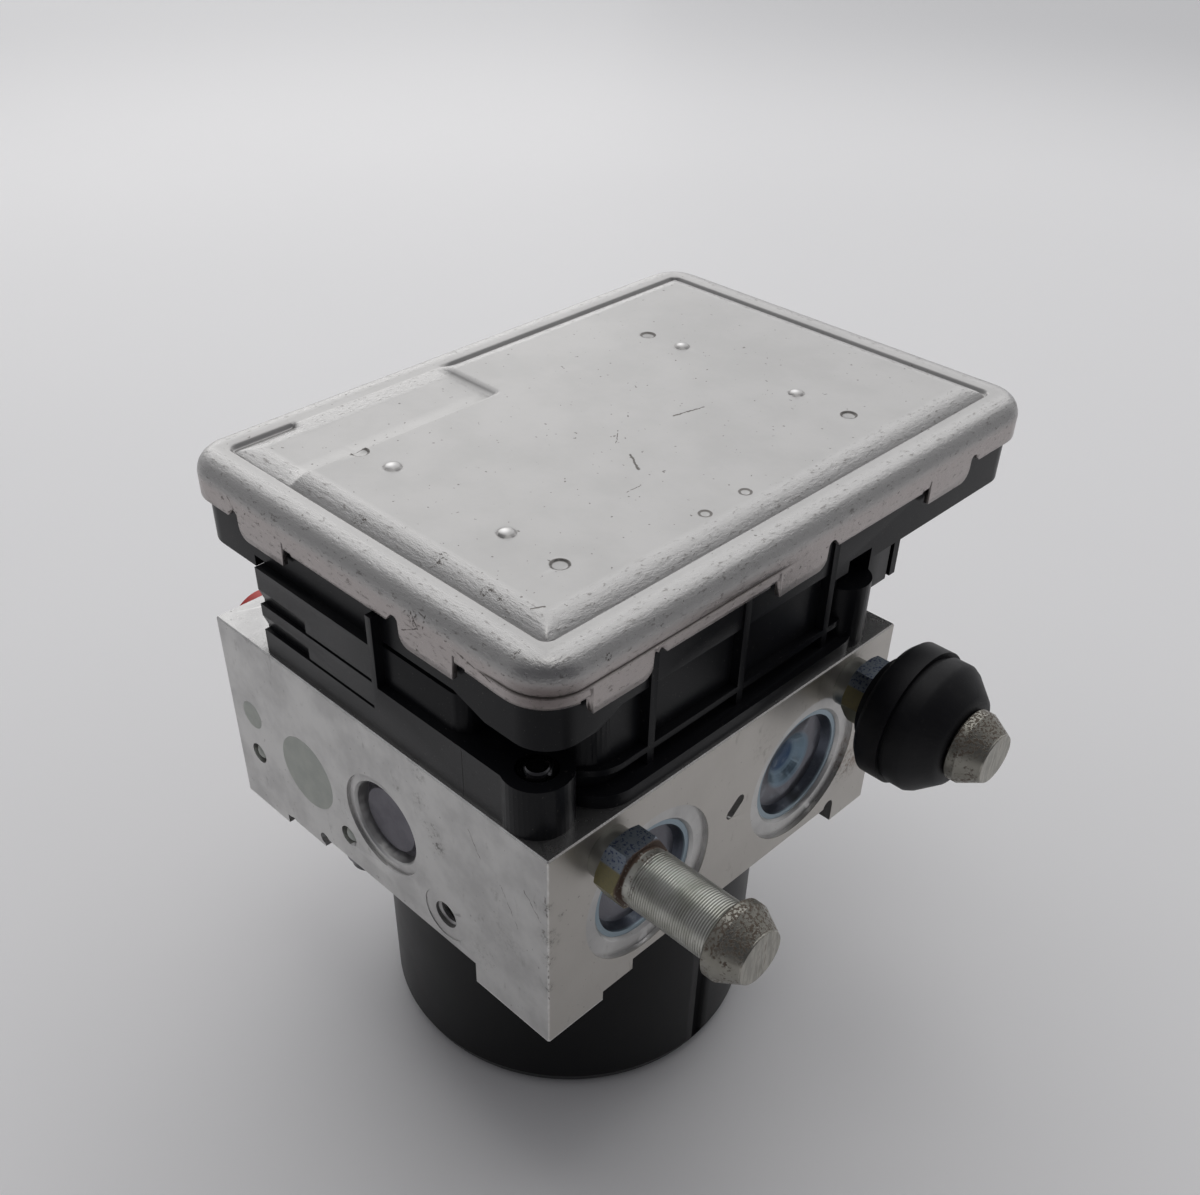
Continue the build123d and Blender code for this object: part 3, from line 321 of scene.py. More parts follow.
def pressedSheet():
    look = {
        "sheet": (0.412, 0.406, 0.400),
        "cloud": (0.38, 0.375, 0.369),
        "side": (0.44, 0.40, 0.388),
        "rim": (0.425, 0.419, 0.413),
        "highlightTint": (0.78, 0.77, 0.76),
        "shadow": (0.16, 0.135, 0.13),
        "dirtAndShade": (0.09, 0.08, 0.07),
    }
    scratches = [  # on the panel, then on the rim and the front side
        ((5.0, 7.6, 113.7), (9.3, 5.0, 113.7), 0.30),
        ((0.8, 22.3, 113.7), (2.1, 28.5, 113.7), 0.22),
        ((-2.0, 12.0, 113.7), (1.0, 8.6, 113.7), 0.12),
        ((12.9, -1.6, 113.7), (12.8, 1.8, 113.7), 0.14),
        ((25.2, -32.8, 113.6), (26.2, -31.2, 113.7), 0.26),
        ((10.2, -41.7, 111.2), (11.2, -41.7, 109.4), 0.20),
        ((11.2, -41.7, 109.4), (12.1, -41.7, 108.0), 0.18),
        ((12.1, -41.7, 108.0), (8.4, -41.7, 106.0), 0.18),
        ((10.2, -41.7, 110.9), (13.6, -41.4, 110.6), 0.16),
        ((13.6, -41.3, 110.8), (13.2, -41.7, 108.6), 0.16),
        ((19.6, -41.7, 108.6), (24.0, -41.7, 107.6), 0.16),
        ((21.0, -41.7, 108.1), (27.2, -41.7, 107.2), 0.13),
        ((-34.0, -41.7, 109.6), (-32.8, -41.7, 107.7), 0.16),
        ((-32.8, -41.7, 107.7), (-34.6, -41.7, 106.6), 0.14),
    ]
    stains = [  # place, radius: crumbs of dark dirt
        ((7.2, -33.2, 113.4), 1.5),
        ((17.7, -34.0, 113.4), 1.3),
        ((20.7, -33.8, 113.5), 1.0),
        ((-9.5, -34.6, 113.2), 1.4),
        ((11.2, -41.7, 109.2), 1.5),
        ((11.2, -41.7, 104.6), 0.9),
        ((-24.4, -41.7, 110.2), 0.9),
        ((-35.6, -41.2, 108.8), 1.0),
        ((30.0, -39.8, 112.4), 0.9),
        ((36.9, -30.0, 110.6), 0.7),
    ]
    s = coverSizes
    right, back = s["left"] + s["width"], s["front"] + s["length"]
    fin = Finish("pressedSheet")
    x, y, z = fin.axes()
    fine = fin.grain(0.16, 2, 0.6)
    cloud = fin.grain(14, 4, 0.6)
    freckle = fin.grain(0.75, 1, 0.4, shift=5.0).step(0.755, 0.79)
    du = (x - s["left"]).least(right - x)
    dv = (y - s["front"]).least(back - y)
    inset = du.least(dv)
    along = (du - dv).step(-1.0, 1.0)  # which way the sheet was drawn
    runX = fin.grain(0.62, 4, 0.7, stretch=(2.6, 1, 1))
    runY = fin.grain(0.62, 4, 0.7, stretch=(1, 2.6, 1), shift=2.0)
    drawn = runX * along + runY * (1 - along)
    zone = 1 - inset.step(s["bend"], s["bend"] + 1.6)  # the drawn bends: rim and groove wall
    zone = zone + inset.step(6.1, 6.6) * (1 - inset.step(9.2, 10.8))
    side = 1 - z.step(108.6, 110.6)
    colour = fin.mix(cloud.step(0.35, 0.68), look["sheet"], look["cloud"])
    colour = fin.mix(zone * (1 - side) * 0.8, colour, look["rim"])
    # painted reflection: the skirt is painted a pinkish-brown tint, and its near corner a painted shadow
    colour = fin.mix(side * 0.9, colour, look["side"])
    cornerShadow = fin.spot((34.6, -39.2, 108.4), 7.5) * side
    colour = fin.mix(cornerShadow * 0.9, colour, look["shadow"])
    pits = drawn.step(0.57, 0.66) * zone
    colour = fin.mix(pits * 0.5, colour, look["dirtAndShade"])
    crumbs = fin.grain(0.55, 4, 0.75, shift=9.0).step(0.50, 0.60)
    mark = freckle * 0.6
    for point, radius in stains:
        mark = mark.most(fin.spot(point, radius * 1.4).step(0.1, 0.6) * crumbs * 0.9)
    wander = fin.wobble(0.9, 0.7)
    for start, end, width in scratches:
        mark = mark.most(fin.line(start, end, width, wander) * (0.5 + fine * 0.6))
    # painted shade: a dark line along the lip's crease
    crease = 1 - (z - s["lipCrease"]).size().step(0.05, 0.22)
    crease = crease * (x - s["lipX"]).step(0.0, 6.0) * (1 - (y - s["lipY"]).step(2.0, 10.0))
    mark = mark.most(crease * 0.75)
    for px, py, radius, rise in pressings:  # a dark ring round each pressing: painted shade in its crease, a real mark round the two small dimples; a painted highlight on each pip
        raised = rise > 0
        mark = mark.most(fin.ring((px, py, s["panelTop"]), radius, 0.3) * (0.22 if raised else 0.7))
        if raised:
            # painted highlight: a bright spot on each pip's crown
            pipHighlight = fin.spot((px - 0.2, py - 0.2, s["panelTop"] + 0.32), radius * 0.8)
            colour = fin.mix(pipHighlight, colour, look["highlightTint"])
    # real stains, scratches and freckles, and the painted shade of the crease and the rings, all go dark here
    colour = fin.mix(mark.least(1.0), colour, look["dirtAndShade"])
    rough = 0.36 + fine * 0.08 + (drawn - 0.5) * zone * 0.25 - zone * 0.09 + mark * 0.2
    normal = fin.bump(fine, 0.008)
    normal = fin.bump(drawn * zone, 0.12, normal)
    normal = fin.bump(1 - mark, 0.03, normal)
    return fin.paint(Base_Color=colour, Metallic=0.92, Roughness=rough, Normal=normal)


def mouldedBlack():
    look = {
        "base": (0.0078, 0.0080, 0.0098),
        "worn": (0.0105, 0.0105, 0.012),
        "dusty": (0.016, 0.0155, 0.016),
        "dots": (0.09, 0.085, 0.08),
        "line": (0.0, 0.0, 0.0),
    }
    parted = {"x": 20.7, "front": -42.0, "top": 91.75}  # a parting line down the plinth's near wall
    fin = Finish("mouldedBlack")
    x, y, z = fin.axes()
    spark = fin.grain(0.12, 2, 0.6)
    cloud = fin.grain(6, 5, 0.65)
    dust = fin.grain(1.1, 4, 0.7, shift=2.0).step(0.60, 0.80)
    dots = fin.grain(0.42, 1, 0.5, shift=8.0).step(0.725, 0.765)
    parting = 1 - (x - parted["x"]).size().step(0.05, 0.14)
    parting = parting * (1 - (y - parted["front"]).step(-0.1, 0.1))
    parting = parting * (1 - (z - parted["top"]).step(-0.15, 0.15))
    colour = fin.mix(cloud.step(0.4, 0.75) * 0.6, look["base"], look["worn"])
    colour = fin.mix(dust * 0.5, colour, look["dusty"])
    colour = fin.mix(dots * 0.5, colour, look["dots"])
    colour = fin.mix(parting, colour, look["line"])
    rough = 0.26 + cloud * 0.1 + dust * 0.12
    normal = fin.bump(1 - parting, 0.05, fin.bump(spark, 0.010))
    return fin.paint(Base_Color=colour, Roughness=rough, Normal=normal, Specular_IOR_Level=0.14)


def satinPaint():
    fin = Finish("satinPaint")
    peel = fin.grain(0.5, 2, 0.5)
    cloud = fin.grain(8, 4, 0.6)
    chips = fin.grain(0.8, 3, 0.6, shift=9.0).step(0.74, 0.80)
    colour = fin.mix(cloud.step(0.4, 0.8), (0.0022, 0.0022, 0.003), (0.004, 0.004, 0.0048))
    colour = fin.mix(chips * 0.3, colour, (0.04, 0.038, 0.036))
    rough = 0.32 + cloud * 0.12 + chips * 0.2
    return fin.paint(Base_Color=colour, Roughness=rough, Normal=fin.bump(peel, 0.01), Specular_IOR_Level=0.2)


def zincPlate(name, base, tint, rust=0.0, rough=0.3):
    fin = Finish(name)
    cloud = fin.grain(3.5, 4, 0.6)
    turning = fin.grain(0.18, 2, 0.5, stretch=(1, 30, 30))
    colour = fin.mix(cloud.step(0.35, 0.7), base, tint)
    bumps = fin.bump(turning, 0.008)
    roughness = rough + cloud * 0.12
    if rust:
        patch = fin.grain(1.3, 5, 0.7, shift=4.0).step(0.62 - rust * 0.14, 0.74)
        colour = fin.mix(patch * 0.85, colour, (0.16, 0.075, 0.035))
        roughness = roughness + patch * 0.35
        bumps = fin.bump(patch, 0.03, bumps)
        return fin.paint(Base_Color=colour, Metallic=1 - patch * 0.85, Roughness=roughness, Normal=bumps)
    return fin.paint(Base_Color=colour, Metallic=0.95, Roughness=roughness, Normal=bumps)


def studZinc():
    look = {
        "grey": (0.50, 0.50, 0.465),
        "dull": (0.37, 0.37, 0.33),
        "collar": (0.27, 0.27, 0.25),
        "yellow": (0.27, 0.243, 0.135),
        "blue": (0.27, 0.31, 0.36),
        "speck": (0.035, 0.05, 0.14),
        "head": (0.195, 0.183, 0.155),
        "rust": (0.085, 0.048, 0.030),
        "brown": (0.10, 0.072, 0.05),
        "tip": (0.40, 0.385, 0.345),
    }
    zones = {  # each edge of a zone, as a distance from the block's face
        "collarEnd": (2.3, 2.6),
        "hexStart": (2.5, 2.7),
        "hexEnd": (6.55, 6.72),
        "hexFaceStart": (6.35, 6.7),
        "hexFaceEnd": (7.0, 7.3),
        "footStart": (6.9, 7.1),
        "footEnd": (7.6, 11.0),
        "shankStart": (8.0, 9.0),
        "shankEnd": (21.0, 22.0),
        "headStart": (22.3, 22.7),
        "headRustStart": (22.6, 23.2),
        "headRustEnd": (27.9, 28.1),
        "tip": (28.0, 28.15),
    }
    axis = sum(v[2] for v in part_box("mounting_stud_front")) / 2 / mm
    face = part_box("hydraulic_block")[1][0] / mm
    fin = Finish("studZinc")
    x, y, z = fin.axes()
    out = x - face
    after = {name: out.step(*edge) for name, edge in zones.items()}
    cloud = fin.grain(3.0, 4, 0.6)
    patch = fin.grain(1.1, 4, 0.7, shift=4.0)
    speck = fin.grain(0.42, 3, 0.65, shift=1.0)
    turning = fin.grain(0.16, 2, 0.5, stretch=(1, 30, 30))
    scored = fin.grain(0.5, 3, 0.6, stretch=(1, 1, 9), shift=6.0)
    colour = fin.mix(cloud.step(0.35, 0.7), look["grey"], look["dull"])
    colour = fin.mix(1 - after["collarEnd"], colour, look["collar"])
    hexZone = after["hexStart"] * (1 - after["hexEnd"])
    upper = (z - axis).step(2.7, 3.1)  # the hexagon's upper faces are bluer
    plated = fin.mix(upper, look["yellow"], look["blue"])
    plated = fin.mix(speck.step(0.52, 0.62) * (upper * 0.7 + 0.12), plated, look["speck"])
    colour = fin.mix(hexZone, colour, plated)
    faceRust = after["hexFaceStart"] * (1 - after["hexFaceEnd"]) * patch.step(0.28, 0.46)
    footRust = after["footStart"] * (1 - after["footEnd"]) * patch.step(0.52, 0.62) * speck.step(0.4, 0.6)
    shankRust = after["shankStart"] * (1 - after["shankEnd"]) * patch.step(0.66, 0.72) * 0.5
    spread = ((z - axis).size().step(1.0, 4.2) * 0.9 + patch.step(0.5, 0.62)).least(1.0)
    headRust = after["headRustStart"] * (1 - after["headRustEnd"]) * speck.step(0.47, 0.56) * spread
    tip = after["tip"]
    colour = fin.mix(after["headStart"] * 0.7, colour, look["head"])
    colour = fin.mix(tip * scored.step(0.42, 0.6), colour, look["tip"])
    colour = fin.mix(headRust * 0.9 + tip * scored.step(0.58, 0.70) * 0.6, colour, look["brown"])
    rust = (faceRust + footRust + shankRust).least(1.0)
    colour = fin.mix(rust * 0.95, colour, look["rust"])
    eaten = (rust + headRust).least(1.0)
    rough = 0.27 + cloud * 0.12 + eaten * 0.35
    normal = fin.bump(turning, 0.008)
    normal = fin.bump(speck * (eaten * 0.9 + 0.1), 0.05, normal)
    normal = fin.bump(scored * tip, 0.06, normal)
    return fin.paint(Base_Color=colour, Metallic=1 - eaten * 0.75, Roughness=rough, Normal=normal)


def blueZinc():
    look = {
        "rim": (0.27, 0.34, 0.39),
        "wall": (0.09, 0.10, 0.125),
        "ring": (0.15, 0.15, 0.17),
        "step": (0.17, 0.235, 0.29),
        "middle": (0.035, 0.065, 0.12),
        "pale": (0.32, 0.36, 0.39),
    }
    radii = {"step": (2.4, 3.8), "ring": (4.9, 5.9), "wall": (8.7, 9.1), "rim": (9.6, 9.8)}
    boxes = [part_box("accumulator_cover_front"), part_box("accumulator_cover_rear")]
    ys = [(b[0][1] + b[1][1]) / 2 / mm for b in boxes]
    height = (boxes[0][0][2] + boxes[0][1][2]) / 2 / mm
    fin = Finish("blueZinc")
    x, y, z = fin.axes()
    dy = (y - sum(ys) / 2).size() - abs(ys[1] - ys[0]) / 2
    dz = z - height
    radius = (dy * dy + dz * dz) ** 0.5
    cloud = fin.grain(3.5, 4, 0.6)
    turning = ((radius + cloud * 0.4) * (2 * math.pi / 0.45)).wave()
    flow = fin.grain(2.4, 4, 0.6, shift=3.0)
    colour = look["middle"]
    # the zones from the middle outwards; the dark wall colour is painted shade in the dish's recess
    for name, edge in radii.items():
        colour = fin.mix(radius.step(*edge), colour, look[name])
    colour = fin.mix(flow.step(0.5, 0.75) * 0.3, colour, look["pale"])
    rough = 0.26 + cloud * 0.14
    return fin.paint(Base_Color=colour, Metallic=0.95, Roughness=rough, Normal=fin.bump(turning, 0.004))


def softRubber(name="softRubber", base=(0.0035, 0.0035, 0.005)):
    fin = Finish(name)
    skin = fin.grain(0.3, 3, 0.6)
    cloud = fin.grain(3, 4, 0.6)
    bloom = fin.grain(1.4, 4, 0.7, shift=6.0).step(0.55, 0.8)
    colour = fin.mix(cloud.step(0.4, 0.75) * 0.7, base, (0.007, 0.007, 0.0085))
    colour = fin.mix(bloom * 0.35, colour, (0.02, 0.0195, 0.0195))
    rough = 0.44 + cloud * 0.12
    return fin.paint(Base_Color=colour, Roughness=rough, Normal=fin.bump(skin, 0.02), Specular_IOR_Level=0.25)


def plainFinish(name, base, other, metallic, rough, size=1.0, depth=0.01, stretch=(1, 1, 1)):
    fin = Finish(name)
    cloud = fin.grain(size * 4, 4, 0.6)
    fine = fin.grain(size * 0.3, 2, 0.6, stretch=stretch)
    colour = fin.mix(cloud.step(0.35, 0.7), base, other)
    return fin.paint(
        Base_Color=colour, Metallic=metallic, Roughness=rough + fine * 0.12, Normal=fin.bump(fine, depth)
    )


finishes = {
    "block": machinedAluminium(),
    "sheet": pressedSheet(),
    "plastic": mouldedBlack(),
    "paint": satinPaint(),
    "rubber": softRubber(),
    "seal": softRubber("sealRubber", (0.04, 0.04, 0.042)),
    "stud": studZinc(),
    "blueZinc": blueZinc(),
    "cap": zincPlate("capSteel", (0.13, 0.125, 0.145), (0.10, 0.097, 0.115), 0.0, 0.30),
    "flange": zincPlate("flangeZinc", (0.26, 0.26, 0.28), (0.20, 0.20, 0.22), 0.1, 0.32),
    "plug": plainFinish("plugSteel", (0.44, 0.46, 0.42), (0.38, 0.40, 0.37), 0.4, 0.42),
    "steel": plainFinish(
        "groundSteel", (0.58, 0.58, 0.59), (0.50, 0.50, 0.51), 1.0, 0.24, 1.0, 0.004, (1, 1, 12)
    ),
    "screw": zincPlate("screwZinc", (0.12, 0.12, 0.125), (0.08, 0.08, 0.085), 0.1, 0.22),
    "wire": plainFinish("springWire", (0.42, 0.42, 0.43), (0.34, 0.34, 0.35), 1.0, 0.30, 0.6, 0.004),
    "piston": plainFinish("anodisedPiston", (0.66, 0.66, 0.62), (0.58, 0.58, 0.55), 0.9, 0.34),
    "red": plainFinish("redMoulded", (0.62, 0.035, 0.025), (0.52, 0.025, 0.02), 0.0, 0.38),
    "ferrite": plainFinish("sinteredFerrite", (0.07, 0.07, 0.075), (0.10, 0.10, 0.10), 0.0, 0.62, 0.7, 0.03),
    "core": plainFinish(
        "coreSheets", (0.36, 0.36, 0.37), (0.30, 0.30, 0.31), 0.9, 0.40, 1.0, 0.03, (20, 20, 1)
    ),
    "copper": plainFinish("enamelledCopper", (0.66, 0.33, 0.17), (0.52, 0.25, 0.12), 0.9, 0.28, 0.8, 0.02),
    "carbon": plainFinish("pressedCarbon", (0.035, 0.035, 0.037), (0.06, 0.06, 0.06), 0.0, 0.55, 0.5, 0.02),
    "holder": plainFinish("brushHolder", (0.28, 0.22, 0.14), (0.22, 0.17, 0.11), 0.0, 0.5),
    "board": plainFinish("solderMask", (0.02, 0.15, 0.06), (0.015, 0.11, 0.05), 0.0, 0.3, 0.8, 0.02),
    "contact": plainFinish("tinnedContact", (0.76, 0.74, 0.68), (0.66, 0.63, 0.56), 1.0, 0.24, 0.5, 0.004),
    "coil": plainFinish("coilMoulding", (0.03, 0.03, 0.033), (0.045, 0.045, 0.05), 0.0, 0.36),
    "valve": plainFinish(
        "turnedValve", (0.64, 0.63, 0.61), (0.54, 0.53, 0.52), 1.0, 0.26, 0.7, 0.006, (1, 1, 8)
    ),
}
print("finishes ready:", len(finishes))

nodeFinish = {  # by the start of a node's name; the first that fits
    "hydraulic_block": "block",
    "lid": "sheet",
    "housing": "plastic",
    "motor_can": "paint",
    "motor_end_plate": "flange",
    "motor_screws": "screw",
    "housing_screws": "screw",
    "mounting_stud": "stud",
    "accumulator_cover": "blueZinc",
    "accumulator_piston": "piston",
    "press_plug": "plug",
    "ball_plugs": "plug",
    "pump_cap": "cap",
    "pump_piston": "steel",
    "pump_spring": "wire",
    "accumulator_spring": "wire",
    "brush_spring": "wire",
    "brush_plate": "holder",
    "brush_": "carbon",
    "motor_shaft": "steel",
    "eccentric_ring": "steel",
    "bearing": "steel",
    "stud_grommet": "rubber",
    "lid_seal": "seal",
    "transport_plug": "red",
    "magnet": "ferrite",
    "armature_core": "core",
    "armature_winding": "copper",
    "commutator": "copper",
    "circuit_board": "board",
    "signal_pins": "contact",
    "power_pins": "contact",
    "coil_": "coil",
    "valve_": "valve",
    "pressure_sensor": "valve",
}
for nodeName, cadObject in nodes.items():
    key = next(k for k in nodeFinish if nodeName.startswith(k))
    cadObject.data.materials.clear()
    cadObject.data.materials.append(finishes[nodeFinish[key]])


def addPiece(name, mesh, finish, replaced):
    made = bpy.data.objects.new(name, mesh)
    scene.collection.objects.link(made)
    mesh.materials.append(finishes[finish])
    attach(made, "unit")
    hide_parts(replaced)
    return made


def shade(mesh, angle):
    mesh.shade_smooth()
    mesh.set_sharp_from_angle(angle=math.radians(angle))


# a softened copy of a CAD solid: merged, its edges rounded by a live bevel
def softCopy(node, name, finish, bevel=0.0, angle=32.0, segments=2):
    mesh = nodes[node].data.copy()
    mesh.name = name
    mesh.materials.clear()
    work = bmesh.new()
    work.from_mesh(mesh)
    bmesh.ops.remove_doubles(work, verts=work.verts, dist=0.002 * mm)
    flat = math.radians(0.3)
    bmesh.ops.dissolve_limit(work, angle_limit=flat, verts=work.verts, edges=work.edges)
    work.to_mesh(mesh)
    work.free()
    shade(mesh, angle)
    made = addPiece(name, mesh, finish, node)
    if bevel:
        rounding = made.modifiers.new("rounding", "BEVEL")
        rounding.width = bevel * mm
        rounding.segments = segments
        rounding.limit_method = "ANGLE"
        rounding.angle_limit = math.radians(angle)
        rounding.harden_normals = True
        rounding.use_clamp_overlap = True
    return made


softCopy("housing", "housingMoulding", "plastic", bevel=0.22)
softCopy("hydraulic_block", "machinedBlock", "block", bevel=0.12, segments=1, angle=25)
softCopy("motor_can", "motorPot", "paint")
softCopy("motor_end_plate", "motorFlange", "flange")
softCopy("stud_grommet", "studGrommet", "rubber", angle=50)
softCopy("mounting_stud_front", "studFront", "stud", angle=14)
softCopy("mounting_stud_rear", "studRear", "stud", angle=14)
softCopy("accumulator_cover_front", "accumulatorLidFront", "blueZinc")
softCopy("accumulator_cover_rear", "accumulatorLidRear", "blueZinc")
softCopy("pump_cap_front", "pumpCapFront", "cap")
softCopy("pump_cap_rear", "pumpCapRear", "cap")
softCopy("press_plug", "pressPlug", "plug")
softCopy("transport_plug", "transportPlug", "red")


# a softened copy of each hidden spring, with a mesh of its own
def pistonSpring(node, name):
    made = softCopy(node, name, "wire", angle=60)
    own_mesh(made)


for kind, axis, seats, stroke in (("pump", 1, (0, 1), 2.0), ("accumulator", 0, (1, 1), 8.0)):
    for side, seat in zip(("front", "rear"), seats):
        node, name = f"{kind}_spring_{side}", f"{kind}Coil{side.title()}"
        pistonSpring(node, name)
softCopy("motor_screws", "motorScrews", "screw")
softCopy("housing_screws", "housingScrews", "screw")


# the pressed cover
def smooth(t):
    t = min(max(t, 0.0), 1.0)
    return t * t * (3 - 2 * t)


def coverHeight(x, y):  # an average over five places gives the creases a small radius
    reach = 0.08
    shifts = ((0, 0), (reach, reach), (-reach, -reach), (reach, -reach), (-reach, reach))
    return sum(sharpHeight(x + a, y + b) for a, b in shifts) / len(shifts) + pressingHeight(x, y)


def pressingHeight(x, y):  # a dome or a bowl, with a shallow ring round it
    height = 0.0
    for px, py, radius, rise in pressings:
        d = math.hypot(x - px, y - py) / radius
        if d < 1.0:
            height += rise * math.sqrt(1 - d * d)
        elif rise < 0 and d < 1.5:
            height += 0.04 * (1 - smooth((d - 1) / 0.5))
        elif d < 1.35:
            height -= 0.07 * (1 - smooth((d - 1) / 0.35))
    return height


def sharpHeight(x, y):  # rim, band, groove, panel and the lowered corner area
    s = coverSizes
    u, v = x - s["left"], y - s["front"]
    du, dv = min(u, s["width"] - u), min(v, s["length"] - v)
    if du < s["corner"] and dv < s["corner"]:
        inset = s["corner"] - math.hypot(s["corner"] - du, s["corner"] - dv)
    else:
        near, far = sorted((du, dv))
        blend = max(1.6 - (far - near), 0.0)
        inset = near - blend * blend / 6.4 * smooth((near - s["corner"]) / 1.5)
    if inset < s["bend"]:
        rest = s["bend"] - inset
        return s["rim"] - s["bend"] + math.sqrt(max(s["bend"] ** 2 - rest * rest, 0.0))
    outNotch = Vector((max(u - s["notchWide"], 0.0), max(v - s["notchLong"], 0.0))).length
    raised = smooth(outNotch / 1.1)
    inner = s["rim"] + (s["panelTop"] - s["rim"]) * raised
    along = u < 9.0 and v > s["corner"]
    groove = 1.0
    if along:
        stop = smooth((v - s["grooveStops"]) / 1.2)
        resume = smooth((v - s["notchLong"] - 1.0) / 2.0)
        groove = 1.0 - stop * (1.0 - resume)
    level = s["rim"] + (s["grooveFloor"] - s["rim"]) * groove
    if inset < s["grooveAt"]:
        t = (inset - s["bandEnd"]) / (s["grooveAt"] - s["bandEnd"])
        return s["rim"] + (level - s["rim"]) * smooth(t)
    t = min((inset - s["grooveAt"]) / (s["panelAt"] - s["grooveAt"]), 1.0)
    return level + (inner - level) * (1 - (1 - t) ** 2)


def tabLines(mark):  # grid lines that the slit, the relief and the tab's round corner need
    s = coverSizes
    h, r, w = s["tabHalf"], s["tabRound"], s["relief"]
    offsets = [h + 0.02, h + s["slit"] - 0.02, h + s["slit"], h + s["cut"], h + s["cut"] + 0.02]
    offsets += [h + 0.03 + (w - 0.06) * t for t in (0.0, 0.03, 0.15, 0.32, 0.5, 0.68, 0.85, 0.97, 1.0)]
    offsets += [h - r * t for t in (0.0, 0.08, 0.25, 0.5, 0.75, 1.0)]
    return {mark + side * offset for offset in offsets for side in (-1, 1)}


def gridLines(span, marks, pressed):  # close where the sheet bends, wide where it is flat
    insets = [0, 0.15, 0.5, 1.0, 1.6, 2.4, 3.4, 4.5, 5.4, 5.55, 5.7, 5.85, 5.98, 6.1, 6.22, 6.34]
    insets += [6.48, 6.65, 6.9, 7.2, 7.6, 8.1, 8.7, 9.3, 9.9, 10.4, 11.5]
    steps = {"pressing": 0.38, "least": 0.11, "leastSharp": 0.012, "most": 3.6, "filled": 3.0}
    lines = set(insets) | {span - i for i in insets}
    for centre, reach in pressed:
        count = int(2 * reach / steps["pressing"])
        lines |= {centre - reach + 2 * reach * i / count for i in range(count + 1)}
    sharp = set(insets)
    for mark in marks:
        sharp |= tabLines(mark)
    ordered = sorted(lines | sharp)
    kept = [ordered[0]]
    for line in ordered[1:]:
        while line - kept[-1] > steps["most"]:
            kept.append(kept[-1] + steps["filled"])
        gap = line - kept[-1]
        if gap > steps["least"] or (line in sharp and gap > steps["leastSharp"]):
            kept.append(line)
    return kept


def hemHeight(kind, place):  # lower edge of the skirt: tabs, slits, reliefs
    s = coverSizes
    tabs = frontTabs if kind in ("front", "back") else sideTabs
    off = min((place - t for t in tabs), key=abs)
    if kind in ("right", "back"):
        off = -off
    h, r, w = s["tabHalf"], s["tabRound"], s["relief"]
    if off > h:  # narrow slit, then a short cut in the hem
        if off < h + s["slit"]:
            return s["slitTop"]
        return s["cutHem"] if off < h + s["cut"] else s["hem"]
    if off < -h:
        deep = -off - h
        if deep > w:
            return s["hem"]
        half = w / 2
        reach = max(half * half - (deep - half) ** 2, 0.0)
        return s["reliefTop"] - half * 0.8 + 0.8 * math.sqrt(reach)
    rest = max(r - (off + h), 0.0)
    return s["tabEnd"] + r - math.sqrt(max(r * r - rest * rest, 0.0))


def clusters(values, reach):  # centre and reach of each group of neighbours
    groups = []
    for value in sorted(values):
        if groups and value - groups[-1][-1] < 2 * reach:
            groups[-1].append(value)
        else:
            groups.append([value])
    return [((g[0] + g[-1]) / 2, (g[-1] - g[0]) / 2 + reach) for g in groups]


def roundCorner(u, v):  # bends a square grid so its outline takes the round corners
    s = coverSizes
    r = s["corner"]
    du, dv = min(u, s["width"] - u), min(v, s["length"] - v)
    if du >= r or dv >= r:
        return u, v
    a, b = r - du, r - dv
    reach = max(a, b)
    turn = (b / a if a > b else 2 - a / b) * math.pi / 4 if reach > 1e-9 else 0.0
    nu, nv = r - reach * math.cos(turn), r - reach * math.sin(turn)
    nu = nu if u < s["width"] / 2 else s["width"] - nu
    return nu, (nv if v < s["length"] / 2 else s["length"] - nv)


